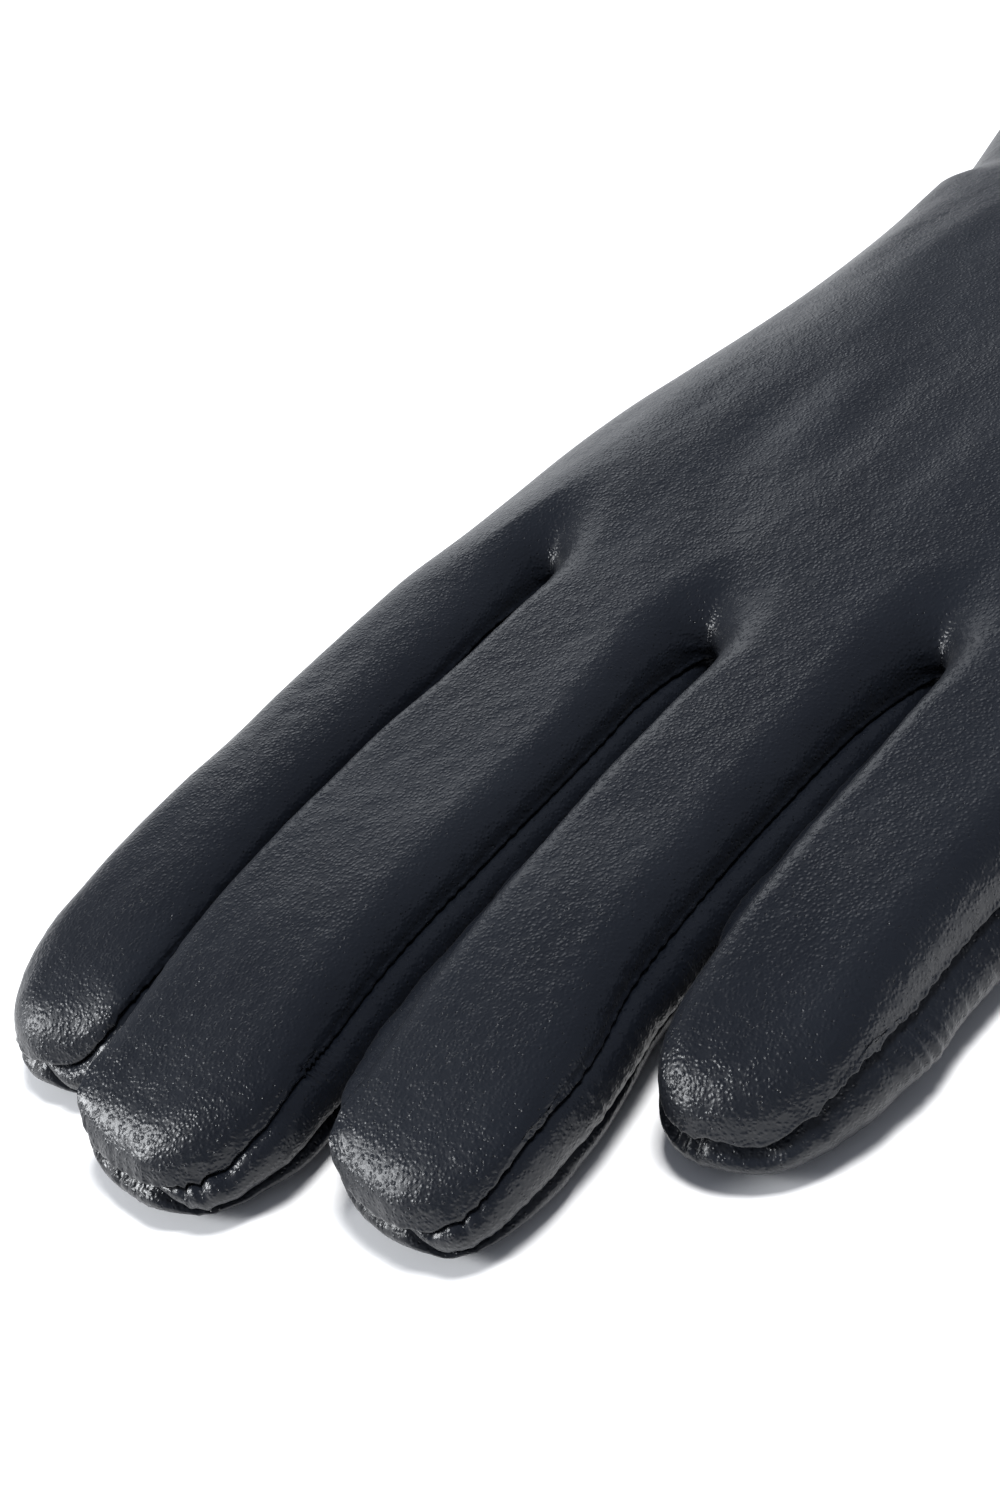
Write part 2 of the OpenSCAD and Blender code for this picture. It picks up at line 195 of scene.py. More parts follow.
def tip_line(finger):
    """y of the finger's end for each column."""
    first, second = TIP_ROUND[finger], TIP_POWER[finger]
    length = np.where(ACROSS > 0, first[0], first[1])
    power = np.where(ACROSS > 0, second[0], second[1])
    drop = 1 - (1 - np.abs(ACROSS) ** power) ** (1 / power)
    return TIP_Y[finger] + TIP_SKEW[finger] * ACROSS - length * drop


def shared_rows():
    """Rows from the cuff to just past the crotches, the same for every finger. They lie closest where
    each crotch opens."""
    rows = list(np.arange(CUFF, -14.0, 1.2)) + list(np.arange(-14.0, 3.0, 0.42))
    opening = [0, 0.03, 0.09, 0.18, 0.3, 0.45, 0.63, 0.85, 1.1, 1.4, 1.8]
    for crotch_y, _ in CROTCH:
        rows = [r for r in rows if not -0.2 < r - crotch_y < 2.1] + [crotch_y + d for d in opening]
    rows = [r for r in rows if abs(r - ROOT_CUT) > 0.06] + [ROOT_CUT]
    rows = sorted(set(np.round(rows, 4)))
    return np.array(rows)


def finger_rows(finger):
    """Rows from there to where they start to follow the finger's round end, one of them at its cut."""
    start, end, step = 3.2, TIP_Y[finger] - FLAT_ROWS, 0.4
    rows = np.linspace(start, end, round((end - start) / step) + 1)
    rows[np.argmin(np.abs(rows - CUTS[finger]))] = CUTS[finger]
    return rows


def plan_of(finger):
    """Plan grid of one finger's column, cuff to tip: x, y, and the row numbers of the two cuts."""
    shared, own = shared_rows(), finger_rows(finger)
    straight = np.concatenate([shared, own])
    y = np.repeat(straight[:, None], COLUMNS + 1, 1)
    zone = straight[-1]
    steps = np.linspace(0, 1, 56)[1:]
    ends = tip_line(finger)
    y = np.concatenate([y, zone + (ends - zone)[None, :] * steps[:, None]])
    high, low = edge(finger, 0, y), edge(finger, 1, y)
    x = mix(low, high, (ACROSS + 1) / 2)
    root = int(np.argmin(np.abs(straight - ROOT_CUT)))
    cut = int(np.argmin(np.abs(straight - CUTS[finger])))
    return x, y, root, cut


# --- Heights -----------------------------------------------------------------------------------

# Height of the back of the hand as (y, z).
HAND_TOP = curve([(-154, 15.2), (-130, 15.3), (-118, 15.5), (-108, 15.9), (-98, 17.2), (-85, 18.5),
                  (-65, 19.0), (-45, 18.8), (-28, 18.0), (-14, 16.9), (-4, 16.0), (6, 15.5), (90, 15.5)])
FOLD_AT, FOLD_TURN = (36.0, -76.0), math.radians(-16)   # a point on the thumb's fold line, and its direction
THUMB_ROOM = 10.7                       # how far the palm lifts over the folded thumb


def fold_frame(x, y):
    """Distances beside and along the thumb's fold line."""
    qx, qy = x - FOLD_AT[0], y - FOLD_AT[1]
    c, s = math.cos(FOLD_TURN), math.sin(FOLD_TURN)
    return qx * c + qy * s, -qx * s + qy * c


def from_fold(beside, along):
    """The point at those distances beside and along the thumb's fold line."""
    c, s = math.cos(FOLD_TURN), math.sin(FOLD_TURN)
    return FOLD_AT[0] + beside * c - along * s, FOLD_AT[1] + beside * s + along * c


def thumb_rise(x, y):
    """How much the palm lifts over the folded thumb, from 0 to 1."""
    beside, along = fold_frame(x, y)
    return ease((beside + 58) / 12) * ease((along + 33) / 9) * ease((61 - along) / 13)


def roll(t, power=2.2):
    """0 at an edge, rising steeply and levelling off at 1."""
    t = np.clip(t, 0, 1)
    return (1 - (1 - t) ** power) ** (1 / power)


def dense(line, step):
    """The same line with points no further apart than step; the first two columns are its plan."""
    along = distance_along(line[:, :2])
    places = np.linspace(0, along[-1], int(along[-1] / step) + 2)
    return np.column_stack([np.interp(places, along, column) for column in line.T])


def nearest(points, line, ahead=1.0):
    """Distance from each point to the nearest point of a line, in the plan, and which one it is.
    Points of the line that lie further along +y count as ahead times as far that way."""
    best, which, batch = np.full(len(points), 1e9), np.zeros(len(points), int), 3000
    for start in range(0, len(points), batch):
        part = points[start:start + batch]
        dy = line[None, :, 1] - part[:, None, 1]
        dy = np.where(dy > 0, dy * ahead, dy)
        d = (part[:, None, 0] - line[None, :, 0]) ** 2 + dy ** 2
        which[start:start + batch] = d.argmin(1)
        best[start:start + batch] = d.min(1)
    return np.sqrt(best), which


def outer_height(side, y):
    """Height of the back panel's edge along the outer sides of the hand."""
    if side == 0:
        rise = ease((y + 109) / 9.4) * ease((4 - y) / 42)
        return mix(8.0 + 3.9 * rise, 8.2, ease((y + 14) / 26))
    return mix(8.4, 10.2, ease((y + 20) / 34))


def outer_radius(side, y):
    """How far in the back rounds down to its edge along the outer sides."""
    if side == 0:
        return mix(25.0, 8.0, ease((y + 45) / 60))
    return mix(19.0, 5.0, ease((y + 45) / 55))


def outer_low(side, y):
    """Height of the palm panel's edge above the palm beside it, along the outer sides."""
    if side == 0:
        rise = thumb_rise(INDEX_OUTER(y), y)
        return mix(mix(6.2, 0.3, rise), 1.4, ease((y + 12) / 30))
    return mix(6.6, 1.4, ease((y + 20) / 34))


def hand_heights(x, y):
    """Height of the back of the hand, and how far the back drops and the palm rises toward each of the
    outer sides."""
    tall = HAND_TOP(y)
    drops, lows = [], []
    for side, outline in ((0, INDEX_OUTER), (1, LITTLE_OUTER)):
        distance = np.abs(outline(y) - x)
        power = mix(1.75, 2.2, ease((y + 20) / 30))
        drops.append((tall - outer_height(side, y)) * (1 - roll(distance / outer_radius(side, y), power)))
        low_radius = mix(13.0, 4.0, ease((y + 30) / 40))
        lows.append(outer_low(side, y) * (1 - roll(distance / low_radius, 2.2)))
    return tall, drops, lows


def joined(drops):
    """One drop from several, rounded where they meet."""
    return sum(drop ** 4 for drop in drops) ** 0.25


def hand_ceiling(x, y):
    """Height of the back of the hand at points along a row."""
    tall, drops, _ = hand_heights(x, np.full(len(x), y))
    return tall - joined(drops)


def hand_floor(x, y):
    """Height of the palm at points along a row."""
    _, _, lows = hand_heights(x, np.full(len(x), y))
    return joined(lows) + THUMB_ROOM * thumb_rise(x, y)


# Height of each finger's side seams, index side first, and how far in the top rounds down to them.
CORNER_HEIGHT = [(8.2, 11.2), (11.2, 11.2), (11.2, 11.2), (11.2, 10.2)]
EDGE_RADIUS = [(7.5, 9.0), (3.6, 5.6), (3.6, 5.6), (3.6, 5.0)]
CORNER_DROP, CORNER_LENGTH = 0.7, 16.0   # how far a side seam drops into its corner, over what length
TIP_END, TIP_REACH = 5.6, 4.6            # height of the tip seam, and how far in the top rounds down to it
# How far each finger's top sinks toward its tip, and over what length.
TIP_FALL, TIP_SLOPE = [6.4, 6.8, 6.8, 6.0], [38.0, 40.0, 38.0, 27.0]


def tip_height(finger):
    """Height of the back panel's end for each column: lowest in the middle, rising to the corners."""
    first, second = (height - CORNER_DROP - TIP_END for height in CORNER_HEIGHT[finger])
    return (TIP_END + first * np.clip((ACROSS - 0.3) / 0.7, 0, 1) ** 2.5
            + second * np.clip((-ACROSS - 0.3) / 0.7, 0, 1) ** 3)


def tip_fall(finger, y):
    """How far the top of a finger has sunk toward its tip."""
    return TIP_FALL[finger] * (1 - np.clip((TIP_Y[finger] - y) / TIP_SLOPE[finger], 0, 1)) ** 2.2


def side_height(finger, side, y, ends):
    """Height of a finger's side edge, which drops a little into the corner."""
    return CORNER_HEIGHT[finger][side] - CORNER_DROP * ease((y - ends[side] + CORNER_LENGTH) / CORNER_LENGTH)


def tip_rim(finger, x, y):
    """The line round a fingertip, as its points, the height there and how far in the top rounds down to
    it, and the y where each side ends."""
    ends = [y[-1, 0], y[-1, -1]]
    reach = mix(TIP_REACH, EDGE_RADIUS[finger][0], np.clip((ACROSS - 0.5) / 0.5, 0, 1))
    reach = mix(reach, EDGE_RADIUS[finger][1], np.clip((-ACROSS - 0.2) / 0.8, 0, 1))
    lines = [np.column_stack([x[-1], y[-1], tip_height(finger), reach])]
    for side, column in ((0, 0), (1, -1)):
        part = y[:, column] > ends[side] - CORNER_LENGTH
        side_x, side_y = x[part, column], y[part, column]
        height = side_height(finger, side, side_y, ends)
        radius = np.full(len(side_x), EDGE_RADIUS[finger][side])
        lines.append(np.column_stack([side_x, side_y, height, radius]))
    return np.concatenate([dense(line, 0.2) for line in lines]), ends


def column_heights(finger, x, y, rims):
    """Top and bottom heights of a column grid, and each point's distance to the nearest seam. rims holds
    the column's edges beside the gaps, by the gap's number."""
    points = np.stack([x.ravel(), y.ravel()], 1)
    tall, drops, lows = hand_heights(x, y)
    tall = tall - tip_fall(finger, y)
    line, ends = tip_rim(finger, x, y)
    by_tip = [ease((y - end + 7) / 7) for end in ends]
    for side, outermost in ((0, 0), (1, 3)):
        if finger != outermost:
            drops[side] = np.where(y > 0.5, 0, drops[side])
            lows[side] = np.where(y > 0.5, 0, lows[side])
    parts = [drop ** 4 * (1 - share) for drop, share in zip(drops, by_tip)]
    seam = np.abs(x - LITTLE_OUTER(y)) if finger == 3 else np.full(x.shape, 99.0)
    for number, rim in rims.items():
        crotch_y = CROTCH[number][0]
        near = points[:, 1] > crotch_y - 20
        distance = np.full(len(points), 99.0)
        distance[near] = nearest(points[near], rim, 0.55)[0]
        distance = distance.reshape(x.shape)
        facing = 0 if number == finger - 1 else 1
        base = mix(9.8, side_height(finger, facing, y, ends), ease((y - crotch_y) / 14))
        radius = mix(7.0, EDGE_RADIUS[finger][facing], ease((y - crotch_y) / 12))
        parts.append(((tall - base) * (1 - roll(distance / radius, 2.25))) ** 4 * (1 - by_tip[facing]))
        lows.append(0.9 * (1 - roll(distance / 3.4, 2.0)))
        seam = np.minimum(seam, distance)
    near = points[:, 1] > min(ends) - 24
    distance, height, reach = np.full(len(points), 99.0), np.full(len(points), TIP_END), np.ones(len(points))
    distance[near], which = nearest(points[near], line[:, :2])
    height[near], reach[near] = line[which, 2], line[which, 3]
    distance, height, reach = (values.reshape(x.shape) for values in (distance, height, reach))
    share = mix(by_tip[1], by_tip[0], (ACROSS[None, :] + 1) / 2)
    parts.append(((tall - height) * (1 - roll(distance / reach, 2.2))) ** 4 * share)
    left = np.maximum(tip_line(finger)[None, :] - y, 0)
    lows.append(0.9 * (1 - roll(left / 3.6, 2.0)))
    top = tall - sum(parts) ** 0.25
    low = joined(lows) + THUMB_ROOM * thumb_rise(x, y)
    return top, np.minimum(low, top - 0.8), np.minimum(seam, distance)


def waves(points, length, seed, stretch=(1, 1, 1), count=14):
    """Smooth noise between about -1 and 1: a sum of plane waves about one length apart."""
    draw = np.random.default_rng(seed)
    total = np.zeros(len(points))
    scaled = points / np.array(stretch, float)
    for _ in range(count):
        way = draw.normal(size=3)
        way /= np.linalg.norm(way)
        spacing = length * draw.uniform(0.75, 1.35)
        total += np.sin(scaled @ way * (2 * math.pi / spacing) + draw.uniform(0, 6.28))
    return total / math.sqrt(count / 2) / 1.6


def wobble(along, seed, lengths):
    """A smooth irregular wave along a line, between about -1 and 1."""
    draw = np.random.default_rng(seed)
    total = np.zeros_like(along)
    for length in lengths:
        for _ in range(3):
            spacing = length * draw.uniform(0.8, 1.25)
            total += np.sin(2 * math.pi * along / spacing + draw.uniform(0, 6.28))
    return total / (1.1 * math.sqrt(3 * len(lengths)))


def smooth(values, width):
    """Running mean along a list, with its ends held."""
    pad = np.concatenate([np.repeat(values[:1], width), values, np.repeat(values[-1:], width)])
    return np.convolve(pad, np.ones(2 * width + 1) / (2 * width + 1), "valid")


# --- The outer skin: back and palm grids with a strip round the outline between them -----------

UNDERCUT = 1.7       # how far the palm's edge lies inside the back panel's, on the fingers


def palm_plan(finger, x, y):
    """Plan grid of the palm side of a finger: the back's, drawn in under the finger."""
    inset = UNDERCUT * ease((y - 6) / 14)
    centre, half = (x[:, :1] + x[:, -1:]) / 2, np.maximum((x[:, :1] - x[:, -1:]) / 2, 1)
    x_in = np.where(y > 3.5, centre + (x - centre) * (1 - inset / half), x)
    zone = TIP_Y[finger] - FLAT_ROWS
    share = np.clip((y - zone) / (tip_line(finger)[None, :] - zone), 0, 1)
    return x_in, y - UNDERCUT * share ** 2


def outline_keys(plans):
    """The outline from the index side of the cuff to the little side, as (finger, row, column)."""
    keys = []
    for finger, (_, y, _, _) in enumerate(plans):
        rows, last = y.shape[0], y.shape[1] - 1
        start = 0 if finger == 0 else int(np.argmin(np.abs(y[:, 0] - CROTCH[finger - 1][0])))
        stop = 0 if finger == 3 else int(np.argmin(np.abs(y[:, -1] - CROTCH[finger][0])))
        up = [(finger, r, 0) for r in range(start, rows)]
        over = [(finger, rows - 1, c) for c in range(1, last)]
        down = [(finger, r, last) for r in range(rows - 1, stop - 1, -1)]
        keys += (up[1:] if finger else up) + over + down
    return keys


TURN_ROWS, FORK_ROWS, PALM_ROWS = 7, 14, 12     # rows of the strip in the seam's turn, fourchette and palm
FINGER_MIDDLE = [34.0, 9.0, -18.0, -42.0]       # x that parts each finger's two sides
# How much of the gap beside it each fourchette fills.
SWELL = {("index", 1): 0.50, ("middle", 0): 0.40, ("middle", 1): 0.28, ("ring", 0): 0.54,
         ("ring", 1): 0.36, ("little", 0): 0.56}
PALM_BULGE = [1.0, 1.2, 0.5, 1.0]               # how far each finger's palm stands out beside the gaps
TIP_BULGE = [1.2, 1.3, 0.9, 1.5]                # and round its tip
SEAM_DEPTH = 0.75


def outline_frame(line):
    """Distance along the outline and, at each of its points, the level direction out of the glove."""
    along = distance_along(line[:, :2])
    step = 0.45
    way = np.stack([np.interp(along + step, along, line[:, k]) - np.interp(along - step, along, line[:, k])
                    for k in (0, 1)], 1)
    way /= np.linalg.norm(way, axis=1)[:, None] + 1e-9
    return along, np.stack([way[:, 1], -way[:, 0]], 1)


def strip_shape(keys, top):
    """For each point of the outline: the side of its finger, the share of the strip that is fourchette,
    how far fourchette and palm stand out, and how deep the seams lie."""
    finger, column = np.array([key[0] for key in keys]), np.array([key[2] for key in keys])
    x, y = top[:, 0], top[:, 1]
    side = np.where(x > np.array(FINGER_MIDDLE)[finger], 0, 1)
    outer_index, outer_little = (finger == 0) & (column == 0), (finger == 3) & (column == COLUMNS)
    inner = ~(outer_index | outer_little)
    over = (column > 0) & (column < COLUMNS)
    to_tip = np.array(TIP_Y)[finger] - y
    from_crotch = y - np.array(CROTCH)[np.clip(finger + side - 1, 0, 2), 0]
    corner = (np.array(TIP_Y) - np.array(TIP_ROUND)[:, 0])[finger]
    fork = np.where(column == 0, ease((corner + 3.5 - y) / 10.0), 1.0)
    fork = np.where(over, ease((-0.12 - ACROSS[column]) / 0.4), fork)
    fork = np.where(inner & ~((finger == 3) & over), fork, 0.0)
    swell = np.zeros(len(y))
    for (name, which), amount in SWELL.items():
        number = FINGERS.index(name)
        high, low = slit_sides(number + which - 1, y)
        swell = np.where((finger == number) & (side == which), amount * (high - low), swell)
    swell = np.where(inner, swell * fork * mix(0.1, 1.0, ease(from_crotch / 4.0)), 0)
    under = np.array(PALM_BULGE)[finger] * ease(from_crotch / 8)
    under = np.where(outer_index, mix(0.6, 1.2, ease((y + 20) / 40)), under)
    under = np.where(outer_little, mix(0.5, 2.4, ease((y + 10) / 30)), under)
    under = np.where(over, np.array(TIP_BULGE)[finger], under)
    groove = np.where(outer_index, ease((7.0 - to_tip) / 5.0), 1.0)
    groove = np.where(outer_little, ease((y + 120) / 20) * mix(0.5, 1.0, ease((y + 20) / 30)), groove)
    return side, smooth(fork, 5), smooth(swell, 5), smooth(under, 8), smooth(groove, 4)


def strip_rows(along, top, low, side, fork, swell, under, groove):
    """The strip's rows from the top down, as (how far it stands out, height, panel), and the heights of
    its two seams. They turn into the upper seam, cross the fourchette, and run down the palm's edge."""
    height = np.maximum(top - low, 0.8)
    upper = top - np.minimum(0.9, 0.22 * height)
    lower = upper - np.minimum(np.maximum(fork * height * 0.62, 0.35), 0.55 * height)
    slow, pucker = wobble(along, 3, [9.0, 17.0]), wobble(along, 7, [1.5, 2.1])
    fine = wobble(along, 11, [1.3, 1.8])
    depth = SEAM_DEPTH * groove
    rows = []
    for t in np.arange(1, TURN_ROWS + 1) / TURN_ROWS:
        stand = 0.2 * math.sin(math.pi * min(t * 1.15, 1.0)) * (0.3 + 0.7 * groove)
        stand = stand - depth * ease((t - 0.45) / 0.55)
        stand = stand + 0.07 * pucker * groove * math.sin(math.pi * t)
        rows.append((stand, mix(top, upper, 1 - (1 - t) ** 1.6), "back"))
    for t in np.arange(1, FORK_ROWS + 1) / FORK_ROWS:
        body = np.where(side == 0, math.sin(math.pi * t ** 0.68), math.sin(math.pi * t))
        body = np.maximum(body, 0) ** 0.72
        stand = swell * body * (1 + 0.05 * slow) - depth * (1 - body * fork)
        gather = np.where(side == 0, 0.04, 0.09) * pucker * fork * body
        stand = stand + gather * (0.3 + 0.7 * abs(math.cos(math.pi * t)))
        rows.append((stand, mix(upper, lower, (1 - math.cos(math.pi * t)) / 2), "fork"))
    for t in np.arange(1, PALM_ROWS + 1) / PALM_ROWS:
        body = max(math.sin(math.pi * t), 0) ** 0.8
        stand = under * (1 + 0.06 * slow) * body - depth * (1 - ease(t / 0.3))
        stand = stand + 0.20 * fine * ease((under - 1.4) / 0.8) * body * (1 - t)
        rows.append((stand, mix(lower, low, 1 - (1 - t) ** 1.15), "palm"))
    return rows, upper, lower


def side_strip(keys, plans, tops, palms, lows):
    """The strip from the back panel's edge down to the palm, along the outline that keys lists: its points,
    each row's panel, the seams' distance and line, and what the outline is like at each key."""
    top = np.array([(plans[f][0][r, c], plans[f][1][r, c], tops[f][r, c]) for f, r, c in keys])
    low = np.array([lows[f][r, c] for f, r, c in keys])
    foot = np.array([(palms[f][0][r, c], palms[f][1][r, c]) for f, r, c in keys])
    along, out = outline_frame(top)
    side, fork, swell, under, groove = strip_shape(keys, top)
    rows, upper, lower = strip_rows(along, top[:, 2], low, side, fork, swell, under, groove)
    points = np.zeros((len(keys), len(rows), 3))
    for k, (stand, z, _) in enumerate(rows):
        t = max((k + 1 - TURN_ROWS - FORK_ROWS) / PALM_ROWS, 0.0)
        points[:, k, :2] = mix(top[:, :2], foot, t ** 1.4) + out * stand[:, None]
        points[:, k, 2] = z
    points[:, -1, :2] = foot
    seam = np.minimum(np.abs(points[:, :, 2] - upper[:, None]), np.abs(points[:, :, 2] - lower[:, None]))
    seam = np.where((groove > 0.2)[:, None], seam, 9.0)
    line = np.column_stack([top[:, :2] - out * (SEAM_DEPTH * groove)[:, None], upper])
    return {"points": points, "parts": [part for _, _, part in rows], "seam": seam, "fork": fork,
            "line": line, "out": out, "along": along, "groove": groove}


def gap_rims(plans):
    """The back panels' edges on the two sides of each gap between fingers, index side first."""
    rims = []
    for number, (crotch_y, _) in enumerate(CROTCH):
        pair = []
        for (x, y, _, _), column in ((plans[number], -1), (plans[number + 1], 0)):
            beyond = y[:, column] >= crotch_y - 1e-4
            pair.append(np.column_stack([x[beyond, column], y[beyond, column]]))
        rims.append(pair)
    return rims


def skin_heights(plans):
    """Top, bottom and seam distance of every finger's column grid."""
    rims, found = gap_rims(plans), []
    for finger, (x, y, _, _) in enumerate(plans):
        own = {number: rims[number][finger - number] for number in (finger - 1, finger) if 0 <= number < 3}
        found.append(column_heights(finger, x, y, own))
    return zip(*found)


def quads_of(ids):
    """Quads between the neighbouring rows and columns of a grid of point numbers."""
    return np.stack([ids[:-1, :-1], ids[:-1, 1:], ids[1:, 1:], ids[1:, :-1]], -1).reshape(-1, 4)


def zone_of(finger, row, plans):
    """The moving part of the glove that a row of a finger's column belongs to."""
    _, _, root, cut = plans[finger]
    if row < root:
        return "hand"
    return FINGERS[finger] + ("_base" if row < cut else "_tip")


def skin_points(plans, tops, palms, lows, seams):
    """Points and seam distances of the top and bottom grids, and their point numbers, where neighbouring
    columns share the points of the line between them."""
    points, seam, ids, count = [], [], {"top": [], "low": []}, 0
    for level, shapes, heights in (("top", plans, tops), ("low", palms, lows)):
        for finger, (x, y) in enumerate(shape[:2] for shape in shapes):
            own = np.arange(count, count + x.size).reshape(x.shape)
            count += x.size
            points.append(np.column_stack([x.ravel(), y.ravel(), heights[finger].ravel()]))
            seam.append(seams[finger].ravel() if level == "top" else np.full(x.size, 9.0))
            if finger > 0:
                behind = plans[finger][1][:, 0] <= CROTCH[finger - 1][0] + 1e-4
                own[behind, 0] = ids[level][finger - 1][:behind.sum(), -1]
            ids[level].append(own)
    return points, seam, ids


def outline_zones(keys, plans):
    """The moving part that each step of the outline belongs to."""
    return [zone_of(f, min(r, s), plans) if f == g else "hand"
            for (f, r, _), (g, s, _) in zip(keys[:-1], keys[1:])]


def skin_faces(plans, ids, strip, strip_ids, zones):
    """Quads of the whole skin, and the name of the piece that each belongs to."""
    faces, names = [], []

    def add(quads, part, quad_zones):
        faces.append(quads)
        names.extend(f"{zone}_{part}" for zone in quad_zones)

    for finger in range(4):
        rows, columns = ids["top"][finger].shape
        row_zones = np.repeat([zone_of(finger, row, plans) for row in range(rows - 1)], columns - 1)
        add(quads_of(ids["top"][finger])[:, [0, 3, 2, 1]], "back", row_zones)
        add(quads_of(ids["low"][finger]), "palm", row_zones)
    inside = (strip["fork"][:-1] + strip["fork"][1:]) / 2 > 0.04
    for k, part in enumerate(strip["parts"]):
        quads = quads_of(strip_ids[:, k:k + 2])
        if part == "fork":
            for pick, name in ((inside, "fork"), (~inside, "palm")):
                add(quads[pick], name, [zone for zone, picked in zip(zones, pick) if picked])
        else:
            add(quads, part, zones)
    return np.concatenate(faces), np.array(names)


def assemble():
    """The whole outer skin as one mesh, so that its normals run on from piece to piece."""
    plans = [plan_of(finger) for finger in range(4)]
    tops, lows, seams = skin_heights(plans)
    palms = [palm_plan(finger, plan[0], plan[1]) for finger, plan in enumerate(plans)]
    keys = outline_keys(plans)
    strip = side_strip(keys, plans, tops, palms, lows)
    points, seam, ids = skin_points(plans, tops, palms, lows, seams)
    start = sum(len(part) for part in points)
    between = strip["points"][:, :-1]
    own = np.arange(start, start + between.shape[0] * between.shape[1]).reshape(between.shape[:2])
    first, last = (np.array([ids[level][f][r, c] for f, r, c in keys]) for level in ("top", "low"))
    strip_ids = np.column_stack([first, own, last])
    zones = outline_zones(keys, plans)
    faces, names = skin_faces(plans, ids, strip, strip_ids, zones)
    whole = {"points": np.concatenate(points + [between.reshape(-1, 3)]),
             "seam": np.concatenate(seam + [strip["seam"][:, :-1].ravel()]),
             "faces": faces, "names": names, "strip_ids": strip_ids, "top_ids": ids["top"],
             "low_ids": ids["low"], "keys": keys, "zones": zones, "line": strip["line"],
             "out": strip["out"], "along": strip["along"], "groove": strip["groove"]}
    wrinkle(whole)
    whole["normals"] = vertex_normals(whole["points"], whole["faces"])
    return whole


def vertex_normals(points, faces):
    """Unit normals at the points, from the quads round each of them."""
    a, b, c, d = (points[faces[:, k]] for k in range(4))
    n = np.cross(c - a, d - b)
    total = np.zeros_like(points)
    for k in range(4):
        np.add.at(total, faces[:, k], n)
    return total / (np.linalg.norm(total, axis=1)[:, None] + 1e-12)


GATHER = 3.1        # spacing of the gathers at the wrist
# The span of x that each finger takes up, and how deep the wrinkles across its tip are.
FINGER_BELTS = [(23, 56), (-4.5, 23), (-30.5, -4.5), (-56, -30.5)]
TIP_WRINKLE = [0.018, 0.048, 0.020, 0.018]


def wrinkle(whole):
    """Moves the skin along its normals: soft undulations, puckers at seams, creases at crotches and tips."""
    p, seam = whole["points"], whole["seam"]
    n = vertex_normals(p, whole["faces"])
    x, y = p[:, 0], p[:, 1]
    upper = np.clip(n[:, 2], 0, 1)
    hand = ease((8 - y) / 30) * upper
    move = 0.42 * waves(p, 34.0, 21, (1.0, 1.5, 1)) * hand
    move += 0.14 * waves(p, 13.0, 22, (0.8, 1.6, 1)) * hand * ease((y + 120) / 30)
    move += 0.07 * waves(p, 12.0, 23, (1.0, 1.2, 1)) * ease((y - 2) / 10)
    move += 0.014 * waves(p, 3.4, 24, (1.0, 1.3, 1)) * ease((y - 8) / 20)
    # short creases that run out from each crotch
    for number, (crotch_y, crotch_x) in enumerate(CROTCH):
        dx, dy = x - crotch_x, y - crotch_y
        reach, angle = np.hypot(dx, dy), np.arctan2(dx, -dy)
        fan = np.cos(angle * 5.0 + 1.3 * number) + 0.6 * np.cos(angle * 9.0 + 2.1 * number)
        near = np.exp(-(reach / 7.0) ** 2) * ease(reach / 2.5) * ease((dy + 14) / -6 + 1.6)
        move += 0.14 * fan * near * upper
    # fine wrinkles across the fingertips
    for finger, (low, high) in enumerate(FINGER_BELTS):
        left = TIP_Y[finger] - y
        belt = ease((left - 2) / 5) * ease((25 - left) / 12) * ((x > low) & (x <= high) & (y > 20)) * upper
        bent = y + 0.9 * waves(p, 9.0, 40 + finger)
        lines = np.sin(bent * 2 * math.pi / 1.3) * (0.5 + 0.5 * waves(p, 5.0, 50 + finger))
        move += TIP_WRINKLE[finger] * belt * (lines + 0.6 * waves(p, 1.6, 60 + finger, (2.6, 1.0, 1)))
    # puckers beside the seams
    beside = np.exp(-(np.clip(seam, 0, 50) / 1.7) ** 2)
    move += 0.035 * beside * waves(p, 1.9, 71) * ease((y + 30) / 30)
    # gathers at the wrist, on the palm side
    gathered = np.exp(-((y + 108) / 7.0) ** 2) * np.clip(-n[:, 2], 0, 1)
    gathered = gathered * ease((x + 40) / 10) * ease((34 - x) / 8)
    move += 0.45 * gathered * np.sin(x * 2 * math.pi / GATHER + 0.6 * waves(p, 9.0, 81))
    whole["points"] = p + n * move[:, None]
    whole["points"][:, 2] = np.maximum(whole["points"][:, 2], 0.02)


def new_mesh(name, points, faces, normals=None, seam=None):
    """A mesh object from plan millimetres. Its resting place and its distance to a seam are kept as
    attributes for the materials."""
    mesh = bpy.data.meshes.new(name)
    mesh.from_pydata(to_metres(points).tolist(), [], np.asarray(faces).tolist())
    mesh.polygons.foreach_set("use_smooth", [True] * len(mesh.polygons))
    place = mesh.attributes.new("rest", "FLOAT_VECTOR", "POINT")
    place.data.foreach_set("vector", np.asarray(points, np.float32).ravel())
    if seam is not None:
        distance = mesh.attributes.new("seam", "FLOAT", "POINT")
        distance.data.foreach_set("value", np.asarray(seam, np.float32))
    mesh.update()
    if normals is not None:
        mesh.normals_split_custom_set_from_vertices(normals.tolist())
    piece = bpy.data.objects.new(name, mesh)
    bpy.context.scene.collection.objects.link(piece)
    return piece


CAD_NAMES = {"hand_back": ["back_of_hand"], "hand_palm": ["palm_of_hand"], "hand_fork": ["crotch_forks"]}
for zone in [f"{finger}_{section}" for finger in FINGERS for section in ("base", "tip")]:
    CAD_NAMES[zone + "_back"] = [zone + "_back", zone + "_crease"]
    CAD_NAMES[zone + "_palm"] = [zone + "_palm"]
    CAD_NAMES[zone + "_fork"] = [zone + "_fourchette"]


